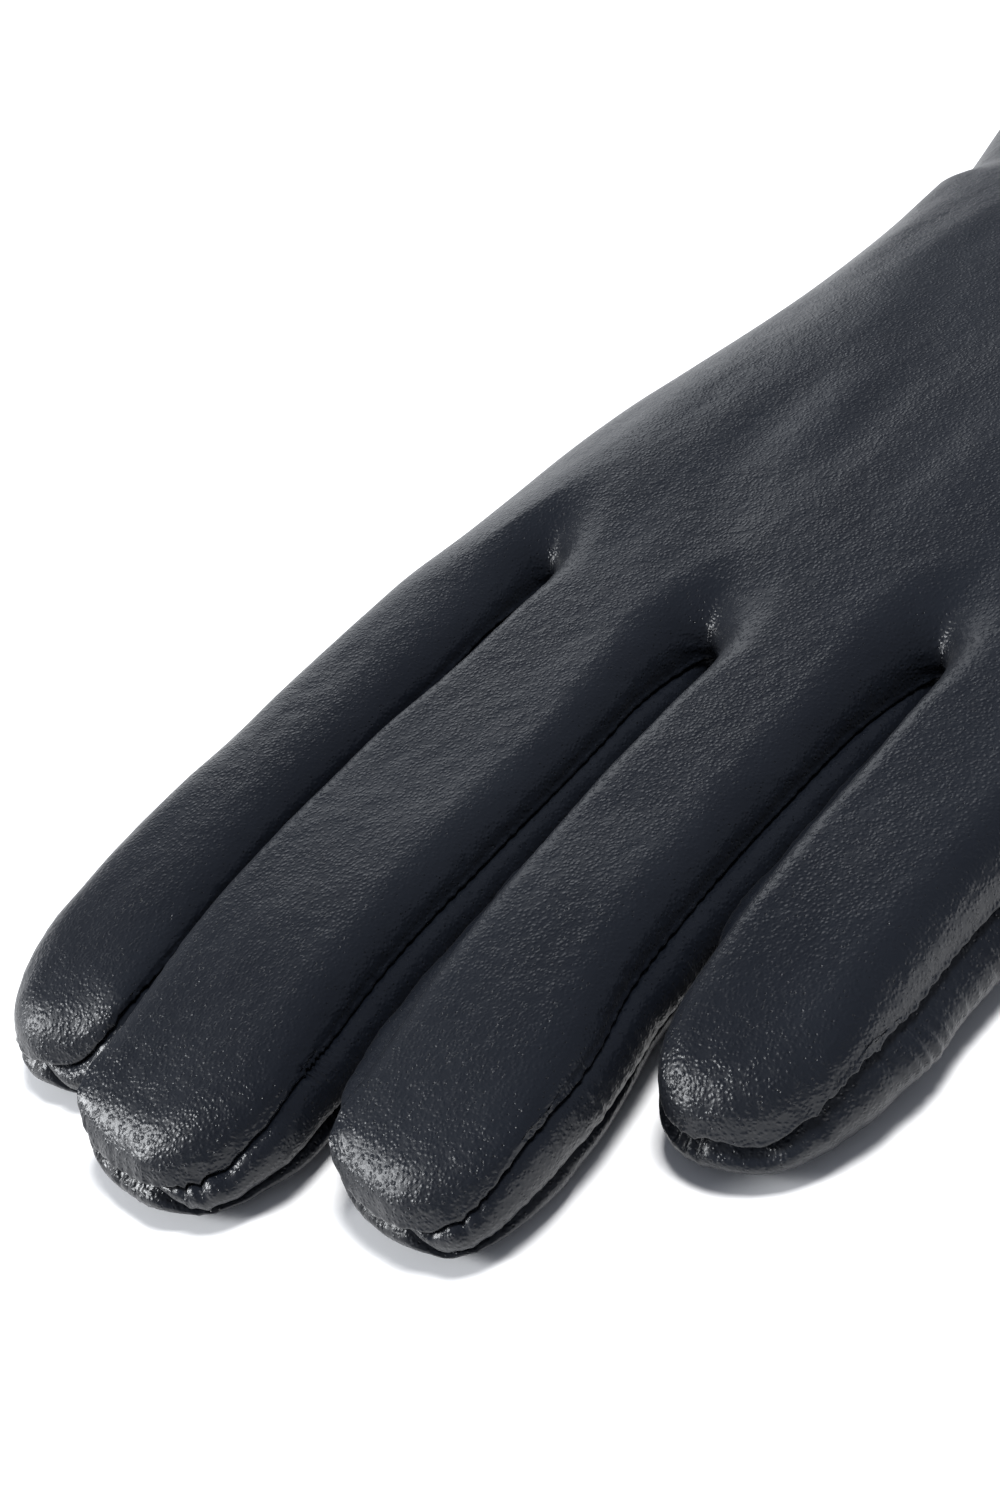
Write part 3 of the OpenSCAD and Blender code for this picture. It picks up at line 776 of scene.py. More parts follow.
def finish_piece(piece, material, slot, zone, *nodes):
    """Gives a piece its material, makes a hand or thumb piece move with that part (others stay put), and
    hides the nodes it stands for.
    """
    piece.data.materials.append(material)
    if zone in ("hand", "thumb"):
        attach(piece, zone)
    else:
        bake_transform(piece)
    if nodes:
        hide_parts(*nodes)


def part_mesh(name, points, faces, normals, seam):
    """A mesh of some of the faces, with only the points that they use."""
    used, index = np.unique(faces, return_inverse=True)
    return new_mesh(name, points[used], index.reshape(-1, 4), normals[used], seam[used])


def make_skin(whole, material):
    hole = hole_distance(whole["points"])
    for name in sorted(set(whole["names"])):
        faces = whole["faces"][whole["names"] == name]
        if name == "hand_palm":
            facing_up = whole["normals"][faces].mean(1)[:, 2] > 0.2
            faces = faces[(hole[faces].mean(1) > THUMB_HOLE) | facing_up]
        piece = part_mesh(name, whole["points"], faces, whole["normals"], whole["seam"])
        finish_piece(piece, material, LEATHER_SLOT, name.rsplit("_", 1)[0], *CAD_NAMES[name])


# The thumb lies folded under the palm. It starts this far along its fold line, and its stall opens
# into the palm through a round hole.
THUMB_START, THUMB_LENGTH, THUMB_HALF, THUMB_TALL = -24.0, 72.0, 14.0, 10.0
THUMB_HOLE = 9.5                        # radius of the hole
HOLE_AT = from_fold(-1 - THUMB_HALF - 5, THUMB_START + THUMB_HOLE + 6)


def hole_distance(points):
    return np.hypot(points[:, 0] - HOLE_AT[0], points[:, 1] - HOLE_AT[1])


# --- Strips and tubes --------------------------------------------------------------------------

def grid_faces(rows, columns, closed=False, flip=False):
    """Quads of a grid of points; closed joins its last column to its first."""
    ids = np.arange(rows * columns).reshape(rows, columns)
    if closed:
        ids = np.column_stack([ids, ids[:, 0]])
    quads = quads_of(ids)
    return quads[:, ::-1] if flip else quads


def tube(line, radius, sides=8, flat=1.0):
    """Points and faces of a tube along a line; flat squashes it from above."""
    line = np.asarray(line, float)
    way = np.gradient(line, axis=0)
    way /= np.linalg.norm(way, axis=1)[:, None] + 1e-12
    beside = np.cross(way, [0.0, 0.0, 1.0])
    beside /= np.linalg.norm(beside, axis=1)[:, None] + 1e-9
    up = np.cross(beside, way)
    angle = np.linspace(0, 2 * math.pi, sides, endpoint=False)[None, :, None]
    radius = np.broadcast_to(radius, len(line))[:, None, None]
    ring = beside[:, None] * np.cos(angle) + up[:, None] * np.sin(angle) * flat
    points = (line[:, None] + ring * radius).reshape(-1, 3)
    return points, grid_faces(len(line), sides, closed=True)


def stitches(places, ways, length=1.7, thick=0.3):
    """Small thread humps: each dips into the leather at both ends."""
    t = np.linspace(-1, 1, 9)
    radius = thick / 2 * np.sqrt(np.clip(1 - np.abs(t) ** 3, 0, 1)) + 0.01
    all_points, all_faces, count = [], [], 0
    for place, way in zip(places, ways):
        points, faces = tube(place + way * (t * length / 2)[:, None], radius, 7)
        all_points.append(points)
        all_faces.append(faces + count)
        count += len(points)
    return np.concatenate(all_points), np.concatenate(all_faces)


def make_stitches(whole, material):
    """Stitches in the seams' grooves, grouped by the part of the glove they belong to."""
    line, along, groups = whole["line"], whole["along"], {}

    def at(distance):
        return np.array([np.interp(distance, along, line[:, k]) for k in range(3)])

    for distance in np.arange(1.0, along[-1] - 1, SEAM_STITCH):
        k = int(np.searchsorted(along, distance)) - 1
        finger, _, column = whole["keys"][k]
        folded = finger == 0 and column == 0 and line[k, 1] < TIP_Y[0] - 9
        ahead = at(distance + 0.5) - at(distance - 0.5)
        length = np.linalg.norm(ahead)
        if whole["groove"][k] < 0.6 or folded or length < 0.5:
            continue
        place = at(distance)
        place[:2] += whole["out"][k] * 0.12
        groups.setdefault(whole["zones"][k], []).append((place, ahead / length))
    for zone, found in groups.items():
        piece = new_mesh(zone + "_stitches", *stitches(*zip(*found)))
        finish_piece(piece, material, THREAD_SLOT, zone, *(["side_seam_thread"] if zone == "hand" else []))


# --- Lining, hem and label ---------------------------------------------------------------------

LINING_SHORT = 2.4                      # how far each finger's lining stops short of its tip
HEM_INSET, HEM_DEPTH = 1.3, 8.6         # how far inside the skin the turned hem lies, and how deep it is


def hand_loop(y, inset, across=61):
    """A loop round the inside of the hand at y: over the top from the index side, then back below."""
    high, low = INDEX_OUTER(y), LITTLE_OUTER(y)
    x = mix(low, high, (np.cos(np.linspace(0, math.pi, across)) + 1) / 2)
    top, bottom = hand_ceiling(x, y), hand_floor(x, y)
    middle, half = (top + bottom) / 2, np.maximum((top - bottom) / 2, 0.4)
    half_in = np.maximum(half - inset, 0.42 * half)
    x_in = (high + low) / 2 + (x - (high + low) / 2) * (1 - inset * 1.15 / ((high - low) / 2))
    upper = np.column_stack([x_in, np.full(across, y), middle + half_in])
    under = np.column_stack([x_in, np.full(across, y), middle - half_in])
    return np.concatenate([upper, under[::-1]])


def make_hand_lining(material):
    rows = np.append(np.arange(CUFF + 8.2, -15, 2.4), -14)
    loops = np.array([hand_loop(y, 1.15) for y in rows])
    points = loops.reshape(-1, 3)
    points[:, 2] += 0.10 * waves(points, 9.0, 91)
    faces = grid_faces(len(rows), loops.shape[1], closed=True)
    below = np.arange(len(faces)) % loops.shape[1] >= loops.shape[1] // 2
    keep = ~(below & (hole_distance(points[faces].mean(1)) < THUMB_HOLE - 0.6))
    piece = new_mesh("hand_lining", points, faces[keep][:, ::-1])
    finish_piece(piece, material, LINING_SLOT, "hand", "lining_hand")


def finger_ring(finger, y, sides):
    """A ring of a finger's lining at y, drawn in toward the tip."""
    low, high = edge(finger, 1, y), edge(finger, 0, y)
    left = np.clip((TIP_Y[finger] - LINING_SHORT - y) / 13.0, 0, 1)
    shrink = max((1 - (1 - left) ** 2.4) ** (1 / 2.4), 0.02)
    bottom, top = 1.5, mix(4.6, 12.4 - 1.08 * tip_fall(finger, y), shrink ** 0.8)
    angle = np.linspace(0, 2 * math.pi, sides, endpoint=False)
    x = (low + high) / 2 + ((high - low) / 2 - 1.7) * shrink * squared(np.cos(angle), 2 / 3.2)
    z = (bottom + top) / 2 + (top - bottom) / 2 * squared(np.sin(angle), 2 / 3.2) * mix(0.25, 1.0, shrink)
    return np.column_stack([x, np.full(sides, y), z])


def make_finger_linings(material):
    rings, sides = 26, 36
    for finger, name in enumerate(FINGERS):
        cuts = [ROOT_CUT + 0.5, CUTS[finger], TIP_Y[finger] - LINING_SHORT]
        for section, low, high in zip(("base", "tip"), cuts[:-1], cuts[1:]):
            points = np.concatenate([finger_ring(finger, y, sides) for y in np.linspace(low, high, rings)])
            zone = f"{name}_{section}"
            piece = new_mesh(zone + "_lining", points, grid_faces(rings, sides, closed=True, flip=True))
            finish_piece(piece, material, LINING_SLOT, zone, zone + "_lining")


def cuff_loop(whole):
    """The skin's own edge at the cuff, in the same order as hand_loop but with the skin's points."""
    top = np.concatenate([whole["top_ids"][f][0, (1 if f else 0):] for f in range(4)])
    low = np.concatenate([whole["low_ids"][f][0, (1 if f else 0):] for f in range(4)])
    side = whole["strip_ids"]
    return np.concatenate([top, side[-1, 1:-1], low[::-1], side[0, 1:-1][::-1]])


def make_hem(whole, leather, thread):
    """The cuff's edge, turned in and stitched down."""
    rim = whole["points"][cuff_loop(whole)]
    low, high = LITTLE_OUTER(CUFF), INDEX_OUTER(CUFF)
    middle_x, middle_z, half = (high + low) / 2, 7.4, (high - low) / 2

    def inner(inset):
        moved = rim.copy()
        moved[:, 0] = middle_x + (rim[:, 0] - middle_x) * (1 - 1.1 * inset / half)
        rise = rim[:, 2] - middle_z
        moved[:, 2] = middle_z + np.sign(rise) * np.maximum(np.abs(rise) - inset, 0.4 * np.abs(rise))
        return moved

    rows = []
    for angle in np.linspace(0, math.pi, 9):
        row = mix(rim, inner(HEM_INSET), (1 - math.cos(angle)) / 2)
        row[:, 1] -= 0.75 * math.sin(angle)
        rows.append(row)
    for t in np.linspace(0, 1, 16)[1:]:
        puff = 0.18 * math.sin(math.pi * t) + 0.35 * ease((t - 0.86) / 0.14)
        row = inner(HEM_INSET - puff)
        y_in = CUFF + HEM_DEPTH * t
        row[:, 0] += np.interp(row[:, 0], [low, high], [LITTLE_OUTER(y_in) - low, INDEX_OUTER(y_in) - high])
        row[:, 1] = y_in
        rows.append(row)
    points = np.concatenate(rows)
    points[:, 2] += 0.05 * waves(points, 5.0, 93) * (np.arange(len(points)) >= len(rim))
    points[:, 2] = np.maximum(points[:, 2], 0.02)
    piece = new_mesh("cuff_hem", points, grid_faces(len(rows), len(rim), closed=True))
    finish_piece(piece, leather, LEATHER_SLOT, "hand", "hem_back", "hem_palm")
    line = inner(HEM_INSET + 0.45)
    line[:, 1] = CUFF + HEM_DEPTH - 2.0
    make_hem_stitches(np.concatenate([line, line[:1]]), thread)


def make_hem_stitches(line, thread):
    along = distance_along(line)
    places, ways = [], []
    for distance in np.arange(0, along[-1] - 1, 2.6):
        a, b = (np.array([np.interp(distance + step, along, line[:, k]) for k in range(3)])
                for step in (-0.3, 0.3))
        places.append((a + b) / 2)
        ways.append((b - a) / (np.linalg.norm(b - a) + 1e-9))
    piece = new_mesh("cuff_stitches", *stitches(places, ways, 1.6, 0.34))
    finish_piece(piece, thread, THREAD_SLOT, "hand", "hem_thread")


def plan_box(node):
    """A CAD node's box in plan millimetres."""
    return [np.array(corner) * 1000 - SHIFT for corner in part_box(node)]


def make_wrist(elastic, thread):
    """The elastic that gathers the palm side of the wrist, and its rows of stitches."""
    low, high = plan_box("wrist_elastic")
    rows, columns = 13, 150
    xs = np.linspace(low[0] + 1, high[0] - 1, columns)
    ripple = np.sin(xs * 2 * math.pi / GATHER)
    inner = []
    for y in np.linspace(low[1], high[1], rows):
        rib = 0.16 * math.cos(math.pi * 6 * (y - low[1]) / (high[1] - low[1])) ** 2
        z = 1.5 + hand_floor(xs, y) + 0.2 * ripple
        inner.append(np.column_stack([xs, np.full(columns, y) + 0.1 * ripple, z + 0.5 + rib]))
    under = [row - [0, 0, 0.55] for row in inner[::-1]]
    piece = new_mesh("wrist_band", np.concatenate(inner + under), grid_faces(2 * rows, columns, flip=True))
    finish_piece(piece, elastic, ELASTIC_SLOT, "hand", "wrist_elastic")
    places = [[x, y, hand_floor(np.array([x]), y)[0] - 0.05]
              for y in np.linspace(low[1] + 1.2, high[1] - 1.2, 3)
              for x in np.arange(low[0] + 2, high[0] - 2, 2.2)]
    points, faces = stitches(np.array(places), np.tile([1.0, 0.0, 0.0], (len(places), 1)), 1.3, 0.3)
    points[:, 2] = np.maximum(points[:, 2], 0.03)
    finish_piece(new_mesh("wrist_stitches", points, faces), thread, THREAD_SLOT, "hand", "gather_stitches")


def make_label(material):
    """A plain woven size tab, sewn inside the back near the cuff."""
    low, high = plan_box("size_label")
    rows, columns = 26, 40
    xs = np.linspace(low[0], high[0], columns)
    face = []
    for y in np.linspace(low[1], high[1], rows):
        t = (y - low[1]) / (high[1] - low[1])
        curl = 0.25 * (1 - t) ** 2 + 0.12 * np.sin(xs * 0.9 + y * 0.4)
        face.append(np.column_stack([xs, np.full(columns, y), hand_ceiling(xs, y) - 1.85 - curl]))
    upper = [row + [0, 0, 0.25] for row in face[::-1]]
    piece = new_mesh("size_tab", np.concatenate(face + upper + face[:1]), grid_faces(2 * rows + 1, columns))
    finish_piece(piece, material, LABEL_SLOT, "hand", "size_label")


# --- Thumb -------------------------------------------------------------------------------------

THUMB_SIDES = 96                        # points round each ring of the thumb stall


def thumb_ring(along, inset, sides=THUMB_SIDES):
    """A closed ring of the thumb stall at a distance from its heel, starting at its inner seam and
    running over the upper side first."""
    t = max(0.0, (along - (THUMB_LENGTH - 14)) / 14, (10 - along) / 10)
    shrink = math.sqrt(max(1 - min(t, 1) ** 2.3, 0.0))
    half = (THUMB_HALF - inset) * mix(0.30, 1, shrink)
    tall = (THUMB_TALL / 2 - inset) * mix(0.16, 1, shrink ** 0.9)
    angle = np.linspace(0, 2 * math.pi, sides, endpoint=False)
    inner_seam = np.exp(-((np.minimum(angle, 2 * math.pi - angle)) / 0.10) ** 2)
    outer_seam = np.exp(-((angle - math.pi) / 0.10) ** 2)
    pinch = 0.7 * (inner_seam + outer_seam) * (1 if inset == 0 else 0)
    x = half * squared(-np.cos(angle), 2 / 2.5) + np.sign(np.cos(angle)) * pinch
    z = tall * squared(np.sin(angle), 2 / 2.6)
    centre = -1 - THUMB_HALF - 1.2 - 0.23 * along
    px, py = from_fold(centre + x, along + THUMB_START + 0 * x)
    return np.column_stack([px, py, THUMB_TALL / 2 + z])


def mouth_end(column):
    """Where the stall's opening into the palm ends: a shallow curve across the upper side's columns."""
    quarter = THUMB_SIDES / 4
    return 2 * THUMB_HOLE + 6 + 3.5 * ((column - quarter) / quarter) ** 2


def thumb_surface():
    """The thumb stall: its rings' distances from the heel, points, faces and each point's distance to
    a seam."""
    heel = 3 - 2.98 * np.cos(np.linspace(0, math.pi / 2, 9))[:-1]
    body = np.arange(3.0, THUMB_LENGTH - 7, 0.7)
    end = THUMB_LENGTH - 7 + 6.98 * np.sin(np.linspace(0, math.pi / 2, 18))[1:]
    rows = np.concatenate([heel, body, end])
    points = np.concatenate([thumb_ring(row, 0) for row in rows])
    faces = grid_faces(len(rows), THUMB_SIDES, closed=True, flip=True)
    angle = np.tile(np.linspace(0, 2 * math.pi, THUMB_SIDES, endpoint=False), len(rows))
    seam = np.minimum(np.abs(angle - math.pi), np.minimum(angle, 2 * math.pi - angle)) * 6.0
    move = 0.16 * waves(points, 9.0, 31) + 0.05 * waves(points, 2.6, 32)
    move = move * ease(seam / 2) + 0.07 * np.exp(-(seam / 1.6) ** 2) * waves(points, 1.8, 33)
    place = np.repeat(rows, THUMB_SIDES)
    knuckle = ease((THUMB_LENGTH - place - 2) / 5) * ease((24 - (THUMB_LENGTH - place)) / 10)
    move += 0.06 * knuckle * np.sin(place * 2 * math.pi / 1.9 + waves(points, 7.0, 34))
    points = points + vertex_normals(points, faces) * move[:, None]
    points[:, 2] = np.clip(points[:, 2], 0.03, THUMB_TALL + 0.1)
    return rows, points, faces, seam


def make_thumb_stall(rows, points, faces, seam, leather):
    """The upper and under halves, with the opening into the palm left out of the upper one."""
    column, row = np.arange(len(faces)) % THUMB_SIDES, rows[np.arange(len(faces)) // THUMB_SIDES]
    upper = column < THUMB_SIDES // 2
    closed = row >= mouth_end(column + 0.5)
    normals = vertex_normals(points, faces)
    halves = ("thumb_upper", upper & closed, "thumb_back"), ("thumb_under", ~upper, "thumb_front")
    for name, pick, node in halves:
        piece = part_mesh(name, points, faces[pick], normals, seam)
        finish_piece(piece, leather, LEATHER_SLOT, "thumb", node)


def make_mouth_edge(rows, grid, leather):
    """The rolled edge of the opening, along the outer seam, across the stall and back round the heel."""
    half = THUMB_SIDES // 2
    last = int(np.argmin(np.abs(rows - mouth_end(0))))
    across = [grid[int(np.argmin(np.abs(rows - mouth_end(column)))), column] for column in range(1, half)]
    line = np.concatenate([grid[:last + 1, 0], across, grid[last::-1, half]])
    line = np.column_stack([smooth(line[:, k], 3) for k in range(3)])
    line[:, 2] = np.minimum(line[:, 2], THUMB_TALL - 0.2)
    finish_piece(new_mesh("thumb_mouth_edge", *tube(line, 0.6, 10)), leather, LEATHER_SLOT, "thumb")


def make_thumb_lining(material):
    sides = 60
    rows = np.append(np.arange(1.6, THUMB_LENGTH - 4, 1.3), [THUMB_LENGTH - 3, THUMB_LENGTH - 2])
    points = np.concatenate([thumb_ring(row, 1.0, sides) for row in rows])
    faces = grid_faces(len(rows), sides, closed=True)
    column, row = np.arange(len(faces)) % sides, rows[np.arange(len(faces)) // sides]
    keep = ~((column < sides // 2) & (row < 2 * THUMB_HOLE + 8))
    piece = new_mesh("thumb_lining_knit", points, faces[keep])
    finish_piece(piece, material, LINING_SLOT, "thumb", "thumb_lining")


def make_thumb_stitches(rows, grid, thread):
    """Stitches along the inner seam, and along the outer one beyond the opening."""
    places, ways = [], []
    for distance in np.arange(8, THUMB_LENGTH - 6, 2.4):
        k = int(np.argmin(np.abs(rows - distance)))
        for column in (0, THUMB_SIDES // 2) if distance >= 36 else (0,):
            way = grid[k + 1, column] - grid[k - 1, column]
            places.append(grid[k, column])
            ways.append(way / np.linalg.norm(way))
    piece = new_mesh("thumb_stitches", *stitches(places, ways, 1.6, 0.3))
    finish_piece(piece, thread, THREAD_SLOT, "thumb", "thumb_thread")


def make_hole_edge(leather):
    """The turned edge round the hole in the palm."""
    turn = np.linspace(0, 2 * math.pi, 97)
    x, y = (HOLE_AT[k] + (THUMB_HOLE + 0.2) * wave(turn) for k, wave in enumerate((np.cos, np.sin)))
    z = [hand_floor(np.array([a]), b)[0] + 0.35 for a, b in zip(x, y)]
    points, faces = tube(np.column_stack([x, y, z]), 1.15, 12, flat=0.55)
    finish_piece(new_mesh("thumb_hole_edge", points, faces), leather, LEATHER_SLOT, "hand")


def make_thumb(leather, lining, thread):
    rows, points, faces, seam = thumb_surface()
    grid = points.reshape(len(rows), THUMB_SIDES, 3)
    make_thumb_stall(rows, points, faces, seam, leather)
    make_mouth_edge(rows, grid, leather)
    make_thumb_lining(lining)
    make_thumb_stitches(rows, grid, thread)
    make_hole_edge(leather)


def make_web(name, inset, material):
    """The skin between the palm and the thumb's outer seam."""
    rows = np.linspace(0.6, 2 * THUMB_HOLE + 13.0, 44)
    grid = []
    for along in rows:
        ring = thumb_ring(along, inset)[THUMB_SIDES // 2 + 1:THUMB_SIDES // 3 + 1:-1]
        x, y, z = ring[-1]
        top = max(hand_floor(np.array([x]), y)[0] + 0.5, z + 0.4)
        rise = mix(z, top, np.linspace(0.3, 1, 4))
        up = np.column_stack([x - np.linspace(0.15, 0.9, 4), np.full(4, y), rise])
        grid.append(np.concatenate([ring, up]))
    points = np.concatenate(grid)
    faces = grid_faces(len(rows), len(grid[0]), flip=True)
    points = points + vertex_normals(points, faces) * (0.10 * waves(points, 4.5, 35))[:, None]
    points[:, 2] = np.maximum(points[:, 2], 0.05)
    piece = new_mesh(name, points, faces, vertex_normals(points, faces))
    piece.data.materials.append(material)
    x, y = from_fold(-4, 0)
    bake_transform(piece)


# --- Materials ---------------------------------------------------------------------------------

class Nodes:
    """Short ways to build a material's node tree."""

    def __init__(self, name):
        self.material = bpy.data.materials.new(name)
        self.material.use_nodes = True
        self.tree = self.material.node_tree
        self.tree.nodes.clear()
        output = self.tree.nodes.new("ShaderNodeOutputMaterial")
        self.shader = self.tree.nodes.new("ShaderNodeBsdfPrincipled")
        self.tree.links.new(self.shader.outputs[0], output.inputs[0])

    def add(self, kind, settings=None, **inputs):
        node = self.tree.nodes.new("ShaderNode" + kind)
        for key, value in (settings or {}).items():
            setattr(node, key, value)
        for key, value in inputs.items():
            self.put(node, key.replace("_", " "), value)
        return node

    def put(self, node, key, value):
        target = node.inputs[key]
        if isinstance(value, bpy.types.NodeSocket):
            self.tree.links.new(value, target)
        else:
            target.default_value = value

    def attribute(self, name, output):
        return self.add("Attribute", {"attribute_name": name}).outputs[output]

    def rest(self):
        """The point's own resting place, in plan millimetres."""
        return self.attribute("rest", "Vector")

    def vector_math(self, kind, key, a, b):
        node = self.add("VectorMath", {"operation": kind})
        self.put(node, 0, a)
        self.put(node, key, b)
        return node.outputs[0]

    def noise(self, vector, scale, detail=2.0, rough=0.5, output="Fac"):
        node = self.add("TexNoise", Vector=vector, Scale=scale, Detail=detail, Roughness=rough)
        return node.outputs[output]

    def cells(self, vector, scale):
        return self.add("TexVoronoi", {"feature": "F1"}, Vector=vector, Scale=scale).outputs["Distance"]

    def wave(self, vector, direction, scale, distortion):
        settings = {"wave_type": "BANDS", "bands_direction": direction}
        return self.add("TexWave", settings, Vector=vector, Scale=scale, Distortion=distortion).outputs["Fac"]

    def ramp(self, value, low, high, out_low=0.0, out_high=1.0):
        node = self.add("MapRange", {"interpolation_type": "SMOOTHSTEP", "clamp": True}, Value=value)
        for key, item in (("From Min", low), ("From Max", high), ("To Min", out_low), ("To Max", out_high)):
            self.put(node, key, item)
        return node.outputs[0]

    def math(self, kind, *values):
        node = self.add("Math", {"operation": kind})
        for key, value in enumerate(values):
            self.put(node, key, value)
        return node.outputs[0]

    def colour(self, factor, a, b):
        node = self.add("Mix", {"data_type": "RGBA"})
        for key, value in ((0, factor), (6, a), (7, b)):
            self.put(node, key, value)
        return node.outputs[2]

    def bump(self, height, distance, strength=1.0, normal=None):
        node = self.add("Bump", Height=height, Distance=distance, Strength=strength)
        if normal is not None:
            self.put(node, "Normal", normal)
        return node.outputs[0]

    def finish(self, **inputs):
        for key, value in inputs.items():
            self.put(self.shader, key.replace("_", " "), value)
        return self.material


def leather_material():
    """Smooth black nappa: fine pores and creases, a satin finish that wears shinier at the seams."""
    n = Nodes("nappa_leather")
    rest = n.rest()
    warp = n.noise(rest, 0.5, output="Color")
    place = n.vector_math("ADD", 1, rest, n.vector_math("SCALE", "Scale", warp, 0.5))
    pores = n.ramp(n.cells(place, 1.5), 0.06, 0.24)
    domes = n.ramp(n.cells(place, 2.1), 0.0, 0.62, 1.0, 0.0)
    fine = n.noise(place, 3.6, 1.0)
    longer = n.add("Mapping", Vector=rest, Scale=(1.0, 0.7, 1.0)).outputs[0]
    cloud = n.ramp(n.noise(longer, 0.055, 3.0, 0.55), 0.3, 0.7)
    # pores show more in some places than in others
    shown = n.ramp(n.noise(rest, 0.35, 3.0, 0.6), 0.35, 0.65, 0.35, 0.9)
    grain = n.math("MULTIPLY_ADD", domes, 0.55, n.math("MULTIPLY", pores, shown))
    grain = n.math("MULTIPLY_ADD", fine, 0.25, grain)
    normal = n.bump(n.noise(rest, 0.16, 1.0), 0.0011, 0.12)
    normal = n.bump(grain, 0.00012, 0.8, normal)
    base = n.colour(cloud, (0.0044, 0.0056, 0.0088, 1), (0.0066, 0.0082, 0.0120, 1))
    # painted shade: the base colour is darkened inside the pores, standing in for the shade in these small
    # pits
    pore_painted_shade = n.math("MULTIPLY", n.ramp(pores, 0.0, 0.5, 1.0, 0.0), 0.6)
    base = n.colour(pore_painted_shade, base, (0.0015, 0.0018, 0.0026, 1))
    worn = n.ramp(n.attribute("seam", "Fac"), 0.0, 2.2, 1.0, 0.0)
    rough = n.math("MULTIPLY_ADD", n.noise(rest, 1.3), 0.06, 0.315)
    rough = n.math("SUBTRACT", rough, n.math("MULTIPLY", worn, 0.06))
    rough = n.math("MULTIPLY_ADD", cloud, 0.05, rough)
    return n.finish(Base_Color=base, Roughness=rough, Normal=normal, Specular_IOR_Level=0.34,
                    Sheen_Weight=0.02, Sheen_Roughness=0.5)


def knit_material():
    """Soft charcoal knit: small ribs with crossing courses and a fuzzy sheen."""
    n = Nodes("knit_lining")
    rest = n.rest()
    ribs, courses = n.wave(rest, "X", 0.42, 1.6), n.wave(rest, "Y", 0.6, 2.2)
    fuzz = n.noise(rest, 7.0, 4.0, 0.7)
    height = n.math("MULTIPLY_ADD", ribs, 0.6, n.math("MULTIPLY", courses, 0.4))
    height = n.math("MULTIPLY_ADD", fuzz, 0.4, height)
    base = n.colour(height, (0.013, 0.013, 0.016, 1), (0.045, 0.045, 0.052, 1))
    return n.finish(Base_Color=base, Roughness=n.ramp(fuzz, 0.2, 0.8, 0.8, 0.98),
                    Normal=n.bump(height, 0.0004, 0.8), Sheen_Weight=0.35, Sheen_Roughness=0.5)


def thread_material():
    """Waxed black thread, with its twist."""
    n = Nodes("twisted_thread")
    rest = n.rest()
    twist, fuzz = n.wave(rest, "DIAGONAL", 1.6, 0.6), n.noise(rest, 9.0, 3.0, 0.6)
    base = n.colour(twist, (0.006, 0.006, 0.008, 1), (0.022, 0.022, 0.026, 1))
    return n.finish(Base_Color=base, Roughness=n.ramp(fuzz, 0.2, 0.8, 0.45, 0.75),
                    Normal=n.bump(twist, 0.0001, 0.7))


def elastic_material():
    """Woven elastic: cords along its length and a fine cross weave."""
    n = Nodes("ribbed_elastic")
    rest = n.rest()
    cords, weave = n.wave(rest, "Y", 0.5, 0.4), n.wave(rest, "X", 1.1, 0.8)
    height = n.math("MULTIPLY_ADD", cords, 0.7, n.math("MULTIPLY", weave, 0.3))
    base = n.colour(height, (0.012, 0.012, 0.013, 1), (0.05, 0.05, 0.055, 1))
    return n.finish(Base_Color=base, Roughness=n.ramp(weave, 0, 1, 0.6, 0.85),
                    Normal=n.bump(height, 0.0003, 0.8))


def label_material():
    """Plain off-white woven tape."""
    n = Nodes("woven_tape")
    rest = n.rest()
    warp, weft = n.wave(rest, "X", 1.3, 0.5), n.wave(rest, "Y", 1.3, 0.5)
    height = n.math("MAXIMUM", warp, weft)
    base = n.colour(height, (0.36, 0.35, 0.32, 1), (0.62, 0.60, 0.55, 1))
    return n.finish(Base_Color=base, Roughness=n.ramp(weft, 0, 1, 0.7, 0.9),
                    Normal=n.bump(height, 0.0002, 0.6))


def floor_material():
    """Matte white card."""
    n = Nodes("white_card")
    place = n.add("TexCoord").outputs["Object"]
    fibre = n.noise(place, 900.0, 3.0, 0.6)
    base = n.colour(n.noise(place, 3.0), (0.93, 0.93, 0.935, 1), (0.95, 0.95, 0.95, 1))
    return n.finish(Base_Color=base, Roughness=n.ramp(fibre, 0.2, 0.8, 0.75, 0.9),
                    Normal=n.bump(fibre, 0.00005, 0.2))


# --- Floor, lights and camera ------------------------------------------------------------------

def make_floor():
    """A flat round card with a softly turned edge."""
    centre = (Vector(CAD_BOX[0]) + Vector(CAD_BOX[1])) / 2
    sides = 96
    turn = np.linspace(0, 2 * math.pi, sides, endpoint=False)
    c, s = np.cos(turn), np.sin(turn)
    profile = (0.002, 0.0), (0.2, 0.0), (0.6, 0.0), (1.2, 0.0), (2.2, 0.0), (2.24, -0.004), (2.25, -0.012)
    rings = [np.column_stack([centre.x + radius * c, centre.y + radius * s, np.full(sides, z)])
             for radius, z in profile]
    faces = grid_faces(len(rings), sides, closed=True, flip=True).tolist() + [list(range(sides))]
    mesh = bpy.data.meshes.new("floor")
    mesh.from_pydata(np.concatenate(rings).tolist(), [], faces)
    floor = bpy.data.objects.new("floor", mesh)
    bpy.context.scene.collection.objects.link(floor)
    floor.data.materials.append(floor_material())


def add_light(name, place, size, power, colour=(1, 1, 1)):
    """A square light at a place in plan millimetres, aimed at the fingers."""
    data = bpy.data.lights.new(name, "AREA")
    data.shape = "RECTANGLE"
    data.size, data.size_y = size, size
    data.energy, data.color = power, colour
    lamp = bpy.data.objects.new(name, data)
    bpy.context.scene.collection.objects.link(lamp)
    place, aim = Vector(to_metres(place)), Vector(to_metres([0, 10, 8]))
    lamp.location = place
    lamp.rotation_euler = (aim - place).to_track_quat("-Z", "Y").to_euler()
    return lamp


